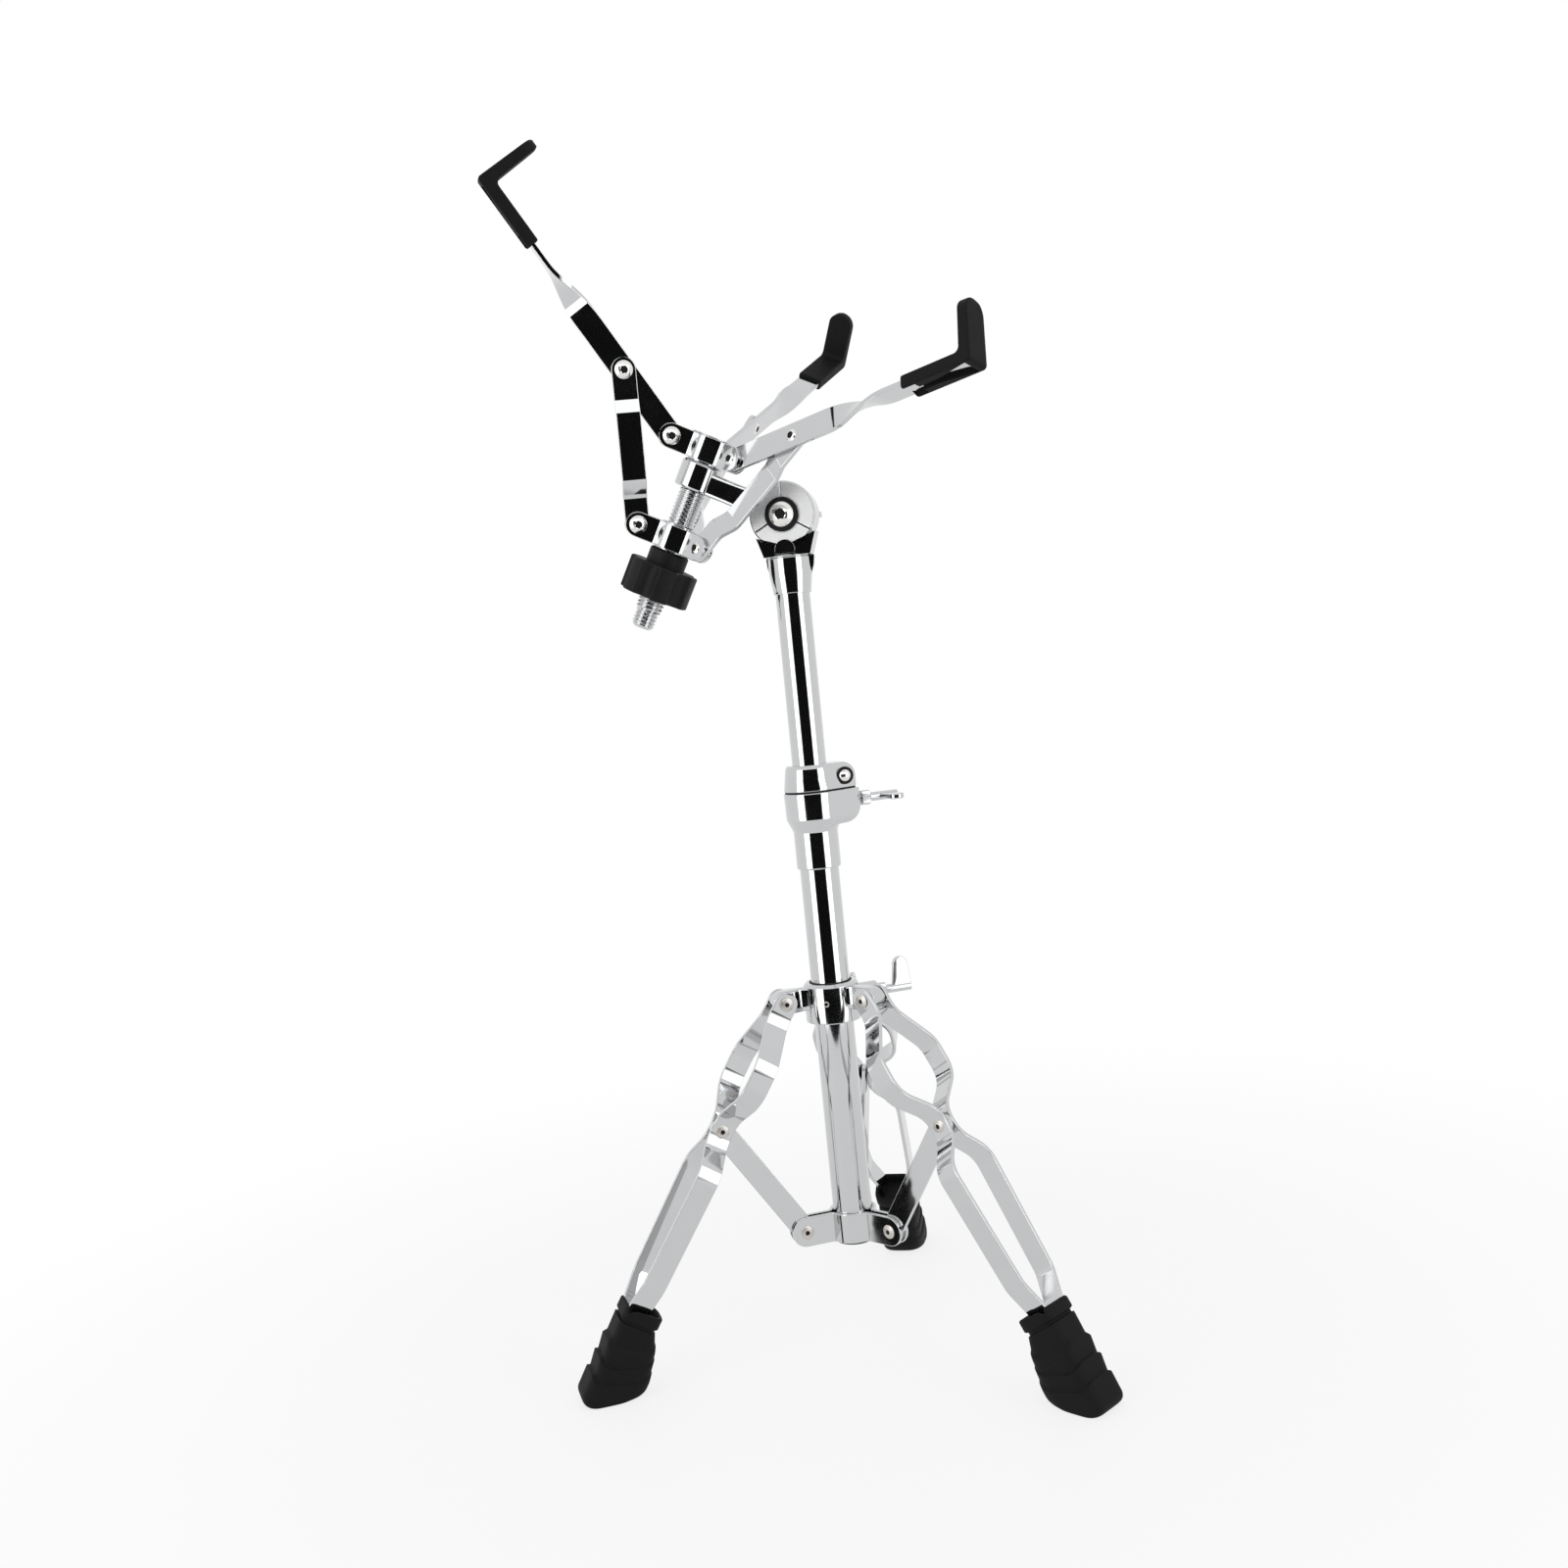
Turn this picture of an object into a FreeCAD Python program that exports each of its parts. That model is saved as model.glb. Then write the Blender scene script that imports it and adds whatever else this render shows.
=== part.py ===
"""Snare drum stand: a folding tripod, a telescoping column, a tilter and a three-armed basket.

Millimetres. The origin is on the floor under the column, +Z is up, and leg 1 points along -X.
"""
import FreeCAD, Part
import math
import os
import re
import Sketcher

SIZES = {
    # Fits shared by every piece
    "overrun": 2.0,
    "fit_gap": 0.05,
    "side_play": 0.2,
    # Column tube and its end plug
    "tube_diameter": 25.4,
    "tube_wall": 1.2,
    "tube_foot_height": 71.0,
    "tube_length": 270.0,
    "plug_depth": 12.0,
    "plug_flange": 2.5,
    # Tripod linkage: leg and brace are equal from pivot to pivot
    "leg_azimuth": 180.0,
    "spread_angle": 33.0,
    "strut_length": 90.5,
    "pivot_reach": 33.5,
    "brace_pivot_height": 80.0,
    # Stamped collar that carries the braces
    "plate_thickness": 2.5,
    "brace_ear_height": 19.0,
    # Braces
    "brace_width": 15.0,
    "brace_thickness": 3.0,
    # Rivets of the tripod
    "leg_pin_diameter": 6.0,
    "leg_pin_head": 9.0,
    "leg_pin_crown": 1.8,
    # Sliding leg collar
    "collar_gap": 0.1,
    "collar_wall": 5.2,
    "collar_height": 25.5,
    "collar_drop": 16.0,
    "collar_rim": 2.0,
    "lug_thickness": 12.0,
    "lug_height": 18.0,
    "boss_diameter": 14.0,
    "boss_reach": 31.0,
    "boss_rise": -2.0,
    # Leg straps
    "leg_strap_width": 15.0,
    "leg_strap_thickness": 2.5,
    "leg_root_flat": 13.0,
    "leg_upper_bow": 27.0,
    "leg_pinch": 8.5,
    "leg_bow_rise": 17.0,
    "leg_lower_bow": 19.0,
    "leg_lower_close": 4.0,
    "leg_shank_length": 122.0,
    "leg_toe_rise": 13.0,
    "leg_toe_spacing": 8.0,
    "leg_toe_length": 25.0,
    "leg_bend_radius": 6.0,
    # Rubber feet
    "foot_ring_width": 28.0,
    "foot_ring_depth": 28.0,
    "foot_ring_height": 8.0,
    "foot_ring_lap": 1.0,
    "foot_outer_side": 10.2,
    "foot_outer_taper": 0.8,
    "foot_groove": 1.6,
    "foot_groove_height": 2.5,
    "foot_width": 31.0,
    "foot_depth": 38.0,
    "foot_corner": 5.0,
    "foot_pin_diameter": 5.0,
    # Wing screws of the leg collar and of the height clamp
    "screw_diameter": 6.0,
    "screw_tip_gap": 0.3,
    "screw_hub_diameter": 9.6,
    "screw_hub_length": 6.0,
    "screw_bar_length": 18.0,
    "wing_width": 13.0,
    "wing_height": 20.5,
    "wing_thickness": 3.6,
    "wing_taper": 1.5,
    # Height clamp on the column tube
    "skirt_diameter": 28.8,
    "skirt_length": 23.0,
    "clamp_lap": 2.0,
    "clamp_diameter": 37.0,
    "clamp_height": 26.4,
    "clamp_cone": 8.0,
    "clamp_boss_width": 17.0,
    "clamp_boss_height": 22.0,
    "clamp_boss_reach": 30.0,
    "clamp_boss_drop": 8.0,
    "clamp_screw_stand_off": 4.0,
    # Memory lock above the clamp
    "lock_height": 17.7,
    "lock_top_diameter": 31.5,
    "lock_bottom_diameter": 36.0,
    "lock_lug_width": 22.0,
    "lock_bolt_reach": 19.0,
    "lock_slit": 1.5,
    "lock_bolt_diameter": 5.0,
    "lock_bolt_head": 10.6,
    "lock_bolt_crown": 3.0,
    # Upper tube, its glide ring and ferrule
    "upper_diameter": 22.2,
    "upper_wall": 1.2,
    "upper_foot_height": 185.0,
    "upper_length": 329.0,
    "glide_height": 6.0,
    "glide_spigot": 14.0,
    "glide_wall": 2.0,
    "ferrule_length": 23.0,
    "ferrule_diameter": 27.6,
    "ferrule_lip": 1.1,
    "ferrule_neck": 1.5,
    "ferrule_taper": 11.0,
    "ferrule_roof": 2.0,
    # Tilter
    "tilter_rise": 27.0,
    "tilt_angle": 27.9,
    "swivel_angle": -28.9,
    "disc_diameter": 41.0,
    "disc_thickness": 9.0,
    "friction_diameter": 36.0,
    "friction_thickness": 2.4,
    "base_puck": 4.5,
    "base_flare": 3.0,
    "cradle_width": 37.0,
    "cradle_drop": 10.0,
    "cradle_gap": 0.8,
    "tilter_bolt_diameter": 8.0,
    "tilter_bolt_head": 17.0,
    "tilter_bolt_crown": 4.5,
    "tilter_bolt_tail": 16.0,
    "tilter_socket": 6.0,
    "tilter_washer_diameter": 20.5,
    "tilter_washer_thickness": 1.6,
    "nut_diameter": 15.0,
    "nut_length": 10.0,
    "nut_wing_reach": 20.0,
    "nut_wing_width": 11.0,
    "nut_wing_thickness": 4.0,
    # Tilter arm, which carries the basket
    "rod_offset": 62.5,
    "web_height": 15.0,
    "web_thickness": 11.0,
    "web_step": 25.0,
    "web_setback": 1.6,
    "rod_collar_diameter": 27.0,
    "rod_collar_height": 18.0,
    "rod_collar_drop": 7.0,
    # Threaded rod and hubs of the basket
    "rod_diameter": 18.0,
    "rod_drop": 102.0,
    "rod_tip_diameter": 15.5,
    "rod_tip_length": 12.0,
    "basket_turn": 26.5,
    "basket_pivot_reach": 26.4,
    "basket_pivot_rise": 20.0,
    "hub_spacing": 60.0,
    "basket_ear_height": 16.0,
    "sleeve_wall": 2.4,
    "sleeve_lap": 1.0,
    "basket_pin_diameter": 5.0,
    "basket_pin_head": 11.5,
    "basket_pin_crown": 2.6,
    "basket_pin_tail": 7.5,
    "basket_tail_crown": 1.2,
    "basket_socket": 4.0,
    # Basket arms and their rubber boots
    "arm_angle": 31.9,
    "arm_width": 15.5,
    "arm_thickness": 3.0,
    "link_pivot": 50.2,
    "arm_blend_length": 46.0,
    "boot_setback": 5.4,
    "arm_length": 185.4,
    "claw_length": 37.0,
    "claw_cover": 6.0,
    "boot_length": 48.0,
    "boot_width": 17.5,
    "boot_thickness": 8.0,
    "boot_slot_width": 7.0,
    # Basket links
    "link_bow": 6.0,
    "link_hole": 8.0,
    # Clamping knob
    "knob_diameter": 46.0,
    "knob_height": 22.0,
    "knob_neck_diameter": 26.0,
    "knob_neck_height": 10.0,
    "knob_groove_diameter": 15.0,
    "knob_insert_wall": 2.0,
}

# Places along a leg's upper half, as shares of its pivot distance, where the bow is widest
UPPER_BOW_SHARES = (0.44, 0.70)
# Places along a basket link, as shares of its pivot distance, where it steps sideways
LINK_STEP_SHARES = (0.18, 0.27, 0.70, 0.82)
# Foot outline down the leg: place, width and depth as shares of the rubber below the ring
FOOT_BODY_SHARES = ((0.0, 0.90, 0.77), (0.35, 0.97, 0.93), (0.65, 1.0, 0.99), (1.0, 1.0, 1.0))
LEGS = 3
LOBES = 6
TWIST_STEPS = 6

X_AXIS = FreeCAD.Vector(1, 0, 0)
Y_AXIS = FreeCAD.Vector(0, 1, 0)
Z_AXIS = FreeCAD.Vector(0, 0, 1)
ALONG = {
    "x": FreeCAD.Rotation(Y_AXIS, 90),
    "y": FreeCAD.Rotation(X_AXIS, -90),
    "-y": FreeCAD.Rotation(X_AXIS, 90),
    "z": FreeCAD.Rotation(),
}

doc = FreeCAD.newDocument("snare_drum_stand")
sheet = doc.addObject("Spreadsheet::Sheet", "Sizes")
for row, (name, number) in enumerate(SIZES.items(), start=1):
    sheet.set(f"A{row}", name)
    sheet.set(f"B{row}", str(number))
    sheet.setAlias(f"B{row}", name)
doc.recompute()

nodes = []


# Shared ways of making solids

def formula(text):
    """The text as an expression, with each size looked up in the sheet."""
    return re.sub(r"\b(?!deg\b)([a-z]\w*)\b(?!\()", r"Sizes.\1", text)


def number_of(text):
    """The present value of a formula."""
    return float(sheet.evalExpression(text))


def shift(x=0, y=0, z=0):
    """A placement that only moves."""
    return FreeCAD.Placement(FreeCAD.Vector(x, y, z), FreeCAD.Rotation())


def turn(axis, angle):
    """A placement that only turns."""
    return FreeCAD.Placement(FreeCAD.Vector(), FreeCAD.Rotation(axis, angle))


def place(obj, **coordinates):
    """Bind an object's position to formulas."""
    for axis, text in coordinates.items():
        obj.setExpression("Placement.Base." + axis, formula(text))
    return obj


def bar(axis, diameter, start, length, **offsets):
    """A round bar along an axis, from its start."""
    obj = doc.addObject("Part::Cylinder", "bar")
    obj.setExpression("Radius", formula(f"({diameter}) / 2"))
    obj.setExpression("Height", formula(length))
    obj.Placement = FreeCAD.Placement(FreeCAD.Vector(), ALONG[axis])
    return place(obj, **{axis: start}, **offsets)


def cone(lower, upper, start, height):
    """A round taper along Z between two diameters."""
    obj = doc.addObject("Part::Cone", "cone")
    obj.setExpression("Radius1", formula(f"({lower}) / 2"))
    obj.setExpression("Radius2", formula(f"({upper}) / 2"))
    obj.setExpression("Height", formula(height))
    return place(obj, z=start)


def block(x, y, z):
    """A box between pairs of formulas."""
    obj = doc.addObject("Part::Box", "block")
    for side, (low, high) in zip(("Length", "Width", "Height"), (x, y, z)):
        obj.setExpression(side, formula(f"({high}) - ({low})"))
    return place(obj, x=x[0], y=y[0], z=z[0])


def dome(axis, diameter, crown, base):
    """A round cap whose flat side is at base and whose crown points along a Y direction."""
    sphere = f"(({diameter})^2 / 4 + ({crown})^2) / (2 * ({crown}))"
    sign = "-" if axis == "-y" else ""
    obj = doc.addObject("Part::Sphere", "dome")
    obj.setExpression("Radius", formula(sphere))
    obj.setExpression("Angle1", formula(f"asin(1 - ({crown}) / ({sphere}))"))
    obj.Placement = FreeCAD.Placement(FreeCAD.Vector(), ALONG[axis])
    return place(obj, y=f"({base}) - {sign}({sphere} - ({crown}))")


def fused(pieces):
    """One solid from several."""
    if len(pieces) == 1:
        return pieces[0]
    obj = doc.addObject("Part::MultiFuse", "joined")
    obj.Shapes = pieces
    return obj


def cut(base, tools):
    """A solid with others taken away."""
    obj = doc.addObject("Part::Cut", "trimmed")
    obj.Base = base
    obj.Tool = fused(tools)
    return obj


def keep(label, obj, at=None):
    """Name a finished sub-part and put it in its place."""
    obj.Label = label
    if at is not None:
        obj.Placement = at
    nodes.append(obj)
    return obj


def coded(name, shape):
    """A feature that holds a shape worked out here."""
    obj = doc.addObject("Part::Feature", name)
    obj.Shape = shape
    return obj


def three_of(label, obj, at=None):
    """One sub-part of three like solids, turned evenly about Z."""
    doc.recompute()
    turns = [turn(Z_AXIS, 360 / LEGS * index) for index in range(LEGS)]
    copies = [obj.Shape.transformed(step.toMatrix(), True) for step in turns]
    return keep(label, coded(label, Part.makeCompound(copies)), at)


def turned(label, outline, at=None):
    """A body turned about Z from a closed outline of (radius, height) formulas."""
    body = doc.addObject("PartDesign::Body", label)
    sketch = body.newObject("Sketcher::SketchObject", label + "_outline")
    plane = next(item for item in body.Origin.OriginFeatures if item.Role == "XZ_Plane")
    sketch.AttachmentSupport = [(plane, "")]
    sketch.MapMode = "FlatFace"
    corners = [FreeCAD.Vector(number_of(radius), number_of(height)) for radius, height in outline]
    count = len(corners)
    for index in range(count):
        sketch.addGeometry(Part.LineSegment(corners[index], corners[(index + 1) % count]), False)
    for index in range(count):
        sketch.addConstraint(Sketcher.Constraint("Coincident", index, 2, (index + 1) % count, 1))
    for index, (radius, height) in enumerate(outline):
        for kind, axis, text in (("DistanceX", -2, radius), ("DistanceY", -1, height)):
            if text == "0":
                sketch.addConstraint(Sketcher.Constraint("PointOnObject", index, 1, axis))
                continue
            row = sketch.addConstraint(Sketcher.Constraint(kind, -1, 1, index, 1, number_of(text)))
            sketch.setExpression(f"Constraints[{row}]", formula(text))
    revolution = body.newObject("PartDesign::Revolution", label + "_turned")
    revolution.Profile = sketch
    revolution.ReferenceAxis = (sketch, ["V_Axis"])
    return keep(label, body, at)


def rivet(grip, pin, head, crown, tail, tail_crown, socket=None):
    """A rivet along Y through a grip centred on zero, with its round head at +Y."""
    half = f"({grip}) / 2"
    solid = fused([
        bar("y", pin, f"-{half}", grip),
        dome("y", head, crown, half),
        dome("-y", tail, tail_crown, f"-{half}"),
    ])
    if socket is None:
        return solid
    return cut(solid, [bar("y", socket, f"{half} + ({crown}) / 2", crown)])


def rounded_path(points, bends):
    """Edges through points, with each inner corner rounded by a tangent arc of its own radius."""
    edges = []
    start = points[0]
    for before, corner, after, radius in zip(points, points[1:], points[2:], bends):
        back = (before - corner).normalize()
        ahead = (after - corner).normalize()
        half = back.getAngle(ahead) / 2
        reach = radius / math.tan(half)
        first = corner + back * reach
        last = corner + ahead * reach
        centre = corner + (back + ahead).normalize() * (radius / math.sin(half))
        middle = centre + (corner - centre).normalize() * radius
        edges.append(Part.LineSegment(start, first).toShape())
        edges.append(Part.Arc(first, middle, last).toShape())
        start = last
    edges.append(Part.LineSegment(start, points[-1]).toShape())
    return edges


def bent_strip(points, thickness, width, bend):
    """A flat strap bent along a mid-line in XY, of even thickness, standing width tall about Z."""
    middle = [FreeCAD.Vector(x, y, 0) for x, y in points]
    runs = [(b - a).normalize() for a, b in zip(middle, middle[1:])]
    normals = [FreeCAD.Vector(-run.y, run.x, 0) for run in runs]
    sides = []
    for side in (1, -1):
        row = [middle[0] + normals[0] * (side * thickness / 2)]
        bends = []
        for corner, first, second in zip(middle[1:], normals, normals[1:]):
            mitre = (first + second) * (side * thickness / (2 + 2 * first.dot(second)))
            row.append(corner + mitre)
            outward = first.cross(second).z
            bends.append(bend - thickness / 2 if outward * side > 0 else bend + thickness / 2)
        row.append(middle[-1] + normals[-1] * (side * thickness / 2))
        sides.append((row, bends))
    left, right = [rounded_path(row, bends) for row, bends in sides]
    ends = [Part.LineSegment(sides[0][0][spot], sides[1][0][spot]).toShape() for spot in (0, -1)]
    outline = Part.Wire(Part.__sortEdges__(left + right + ends))
    return Part.Face(outline).extrude(Z_AXIS * width).translated(Z_AXIS * (-width / 2))


def round_end(radius, thickness):
    """What a strap loses when its end at X = -radius is rounded about the origin's Y axis."""
    reach = radius + sheet.overrun
    corner = Part.makeBox(reach, thickness, 2 * reach, FreeCAD.Vector(-reach, -thickness / 2, -reach))
    disc = Part.makeCylinder(radius, thickness, Y_AXIS * (-thickness / 2), Y_AXIS)
    return corner.cut(disc)


def pin_hole(diameter, depth, x=0):
    """A round cut along Y."""
    return Part.makeCylinder(diameter / 2, depth, FreeCAD.Vector(x, -depth / 2, 0), Y_AXIS)


def rounded_rectangle(x, width, depth, corner, centre):
    """A wire across X: width along Y, depth along Z about a centre, corners rounded."""
    low_y, high_y = -width / 2, width / 2
    low_z, high_z = centre - depth / 2, centre + depth / 2
    quarter = corner * (1 - math.sqrt(0.5))
    edges = []
    rows = [
        ((high_y, low_z + corner), (high_y, high_z - corner)),
        ((high_y - corner, high_z), (low_y + corner, high_z)),
        ((low_y, high_z - corner), (low_y, low_z + corner)),
        ((low_y + corner, low_z), (high_y - corner, low_z)),
    ]
    crests = [
        (high_y - quarter, high_z - quarter),
        (low_y + quarter, high_z - quarter),
        (low_y + quarter, low_z + quarter),
        (high_y - quarter, low_z + quarter),
    ]
    for index, (row, crest) in enumerate(zip(rows, crests)):
        ends = [FreeCAD.Vector(x, *end) for end in (row[0], row[1], rows[(index + 1) % len(rows)][0])]
        edges.append(Part.LineSegment(ends[0], ends[1]).toShape())
        edges.append(Part.Arc(ends[1], FreeCAD.Vector(x, *crest), ends[2]).toShape())
    return Part.Wire(edges)


# Places worked out from the driving sizes

spread = math.radians(sheet.spread_angle)
collar_pivot_height = sheet.brace_pivot_height + 2 * sheet.strut_length * math.cos(spread)
tube_top = sheet.tube_foot_height + sheet.tube_length
clamp_top = tube_top - sheet.clamp_lap + sheet.clamp_height
ferrule_top = sheet.upper_foot_height + sheet.upper_length + sheet.ferrule_roof
leg_frames = [turn(Z_AXIS, sheet.leg_azimuth + 360 / LEGS * index) for index in range(LEGS)]
leg_line = shift(sheet.pivot_reach, 0, collar_pivot_height) * turn(Y_AXIS, 90 - sheet.spread_angle)
brace_line = shift(sheet.pivot_reach, 0, sheet.brace_pivot_height)
brace_line = brace_line * turn(Y_AXIS, sheet.spread_angle - 90)
tilter_frame = shift(0, 0, ferrule_top + sheet.tilter_rise) * turn(Z_AXIS, sheet.swivel_angle)
basket_frame = tilter_frame * turn(Y_AXIS, sheet.tilt_angle)
rod_frame = basket_frame * shift(-sheet.rod_offset)
arm_frames = [rod_frame * shift(0, 0, sheet.basket_pivot_rise) * turn(Z_AXIS, sheet.basket_turn) * frame
              for frame in leg_frames]
upper_hub_frame = arm_frames[0]
lower_hub_frame = upper_hub_frame * shift(0, 0, -sheet.hub_spacing)
arm_rise = math.radians(sheet.arm_angle)
link_out = sheet.link_pivot * math.cos(arm_rise)
link_up = sheet.link_pivot * math.sin(arm_rise)
link_length = math.hypot(link_out, sheet.hub_spacing + link_up)
link_fall = math.degrees(math.atan2(sheet.hub_spacing + link_up, -link_out))


# Column: tube, end plug and the stamped collar that carries the braces

keep("main_tube", cut(
    bar("z", "tube_diameter", "tube_foot_height", "tube_length"),
    [bar("z", "tube_diameter - 2 * tube_wall", "tube_foot_height - overrun", "tube_length + 2 * overrun")],
))

turned("tube_plug", [
    ("0", "tube_foot_height - plug_flange"),
    ("tube_diameter / 2", "tube_foot_height - plug_flange"),
    ("tube_diameter / 2", "tube_foot_height"),
    ("tube_diameter / 2 - tube_wall - fit_gap", "tube_foot_height"),
    ("tube_diameter / 2 - tube_wall - fit_gap", "tube_foot_height + plug_depth"),
    ("0", "tube_foot_height + plug_depth"),
])


def hub_plate(core, height, reach, gap, pin):
    """One stamped plate: two ears joined by a band round a core, from one pivot to the next."""
    inner = f"({core}) / 2 + fit_gap"
    outer = f"{inner} + plate_thickness"
    band = bar("z", f"2 * ({outer})", f"-({height}) / 2", height)
    ear_angle = f"asin((({gap}) + plate_thickness) / 2 / ({outer}))"
    band.setExpression("Angle", formula(f"360 deg / {LEGS} - 2 * {ear_angle}"))
    band.setExpression("Placement.Rotation.Angle", formula(ear_angle))
    sides = []
    for side in (1, -1):
        near, far = f"({gap}) / 2", f"({gap}) / 2 + plate_thickness"
        low, high = (near, far) if side > 0 else (f"-({far})", f"-({near})")
        flat = block((inner, reach), (low, high), (f"-({height}) / 2", f"({height}) / 2"))
        ear = fused([flat, bar("y", height, low, "plate_thickness", x=reach)])
        ear = cut(ear, [bar("y", f"{pin} + 2 * fit_gap", f"{low} - overrun",
                            "plate_thickness + 2 * overrun", x=reach)])
        if side < 0:
            ear.Placement = turn(Z_AXIS, 360 / LEGS)
        sides.append(ear)
    core_cut = bar("z", f"2 * ({inner})", f"-({height}) / 2 - overrun", f"{height} + 2 * overrun")
    return cut(fused([band] + sides), [core_cut])


brace_gap = "brace_thickness + 2 * side_play"
brace_hub = shift(0, 0, sheet.brace_pivot_height) * leg_frames[0]
three_of("brace_collar_plates",
         hub_plate("tube_diameter", "brace_ear_height", "pivot_reach", brace_gap, "leg_pin_diameter"),
         brace_hub)


def three_rivets(label, solid, reach, at):
    """Three rivets of a hub, one at each pivot."""
    solid.setExpression("Placement.Base.x", formula(reach))
    return three_of(label, solid, at)


leg_pin = ("leg_pin_diameter", "leg_pin_head", "leg_pin_crown", "leg_pin_head", "leg_pin_crown")
three_rivets("brace_rivets", rivet(f"{brace_gap} + 2 * plate_thickness", *leg_pin), "pivot_reach", brace_hub)


# Braces: flat straps from the stamped collar to the middle of each leg

def flat_strap(length, width, thickness, pin):
    """A straight strap along X with round ends and a hole at each pivot."""
    half = f"({thickness}) / 2"
    pieces = [
        block(("0", length), (f"-{half}", half), (f"-({width}) / 2", f"({width}) / 2")),
        bar("y", width, f"-{half}", thickness),
        bar("y", width, f"-{half}", thickness, x=length),
    ]
    hole = (f"{pin} + 2 * fit_gap", f"-{half} - overrun", f"{thickness} + 2 * overrun")
    return cut(fused(pieces), [bar("y", *hole), bar("y", *hole, x=length)])


for index, frame in enumerate(leg_frames, start=1):
    strap = flat_strap("strut_length", "brace_width", "brace_thickness", "leg_pin_diameter")
    keep(f"brace_{index}", strap, frame * brace_line)


# Leg collar: a cast ring that slides on the tube, with three lugs and a screw boss

collar_bottom = "-collar_drop"
collar_top = "collar_height - collar_drop"
collar_bore = "tube_diameter + 2 * collar_gap"
collar_outer = "tube_diameter + 2 * collar_gap + 2 * collar_wall"
collar_solids = [
    bar("z", collar_outer, collar_bottom, "collar_height - collar_rim"),
    cone(collar_outer, f"{collar_outer} - 2 * collar_rim", f"{collar_top} - collar_rim", "collar_rim"),
    bar("x", "boss_diameter", "0", "boss_reach", z="boss_rise"),
]
collar_cuts = [
    bar("z", collar_bore, f"{collar_bottom} - overrun", "collar_height + 2 * overrun"),
    bar("x", "screw_diameter + 2 * fit_gap", "0", "boss_reach + overrun", z="boss_rise"),
]
for frame in leg_frames:
    half_lug = "lug_thickness / 2"
    lug = fused([
        block(("0", "pivot_reach"), (f"-{half_lug}", half_lug), ("-lug_height / 2", "lug_height / 2")),
        bar("y", "lug_height", f"-{half_lug}", "lug_thickness", x="pivot_reach"),
    ])
    hole = bar("y", "leg_pin_diameter + 2 * fit_gap", f"-{half_lug} - overrun",
               "lug_thickness + 2 * overrun", x="pivot_reach")
    drilled = cut(lug, [hole])
    drilled.Placement = frame
    collar_solids.append(drilled)
keep("leg_collar", cut(fused(collar_solids), collar_cuts), shift(0, 0, collar_pivot_height))
collar_grip = "lug_thickness + 2 * side_play + 2 * leg_strap_thickness"
three_rivets("leg_rivets", rivet(collar_grip, *leg_pin), "pivot_reach",
             shift(0, 0, collar_pivot_height) * leg_frames[0])


def wing_screw(tip, face):
    """A screw along X from its tip, with a hub on the boss face and one wing standing along Z."""
    hub = f"({face}) + side_play"
    bar_end = f"{hub} + screw_hub_length + screw_bar_length"
    wing = doc.addObject("Part::Wedge", "wing")
    for side, text in {
        "Xmin": f"{bar_end} - wing_width", "Xmax": bar_end,
        "X2min": f"{bar_end} - wing_width + wing_taper", "X2max": f"{bar_end} - wing_taper",
        "Ymin": "0", "Ymax": "wing_height - wing_width / 2 + wing_taper",
        "Zmin": "-wing_thickness / 2", "Zmax": "wing_thickness / 2",
        "Z2min": "-wing_thickness / 2", "Z2max": "wing_thickness / 2",
    }.items():
        wing.setExpression(side, formula(text))
    wing.Placement = turn(X_AXIS, 90)
    crest = bar("y", "wing_width - 2 * wing_taper", "-wing_thickness / 2", "wing_thickness",
                x=f"{bar_end} - wing_width / 2", z="wing_height - wing_width / 2 + wing_taper")
    return fused([
        bar("x", "screw_diameter", tip, f"({bar_end}) - ({tip})"),
        bar("x", "screw_hub_diameter", hub, "screw_hub_length"),
        wing,
        crest,
    ])


keep("leg_wing_screw", wing_screw("tube_diameter / 2 + screw_tip_gap", "boss_reach"),
     shift(0, 0, collar_pivot_height + sheet.boss_rise))


# Legs: two bowed straps each, pinched on the brace, with a rubber foot

leg_foot_start = sheet.strut_length + sheet.leg_shank_length
strap_half = sheet.leg_strap_thickness / 2
root_spacing = sheet.lug_thickness / 2 + sheet.side_play + strap_half
pinch_spacing = sheet.brace_thickness / 2 + sheet.side_play + strap_half
leg_points = [
    (-sheet.leg_strap_width / 2, root_spacing),
    (sheet.leg_root_flat, root_spacing),
    (UPPER_BOW_SHARES[0] * sheet.strut_length, sheet.leg_upper_bow),
    (UPPER_BOW_SHARES[1] * sheet.strut_length, sheet.leg_upper_bow),
    (sheet.strut_length - sheet.leg_pinch, pinch_spacing),
    (sheet.strut_length + sheet.leg_pinch, pinch_spacing),
    (sheet.strut_length + sheet.leg_pinch + sheet.leg_bow_rise, sheet.leg_lower_bow),
    (leg_foot_start - sheet.leg_toe_rise, sheet.leg_lower_bow - sheet.leg_lower_close),
    (leg_foot_start, sheet.leg_toe_spacing),
    (leg_foot_start + sheet.leg_toe_length, sheet.leg_toe_spacing),
]
leg_hole = sheet.leg_pin_diameter + 2 * sheet.fit_gap
leg_spread = 4 * sheet.leg_upper_bow
foot_pin_place = leg_foot_start + sheet.leg_toe_length / 2


def leg_strap(side):
    """One bowed strap along X, on one side of the leg's middle plane."""
    points = [(x, side * y) for x, y in leg_points]
    strip = bent_strip(points, sheet.leg_strap_thickness, sheet.leg_strap_width, sheet.leg_bend_radius)
    cuts = [
        round_end(sheet.leg_strap_width / 2, leg_spread),
        pin_hole(leg_hole, leg_spread),
        pin_hole(leg_hole, leg_spread, sheet.strut_length),
        pin_hole(sheet.foot_pin_diameter + 2 * sheet.fit_gap, leg_spread, foot_pin_place),
    ]
    return strip.cut(cuts)


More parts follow.
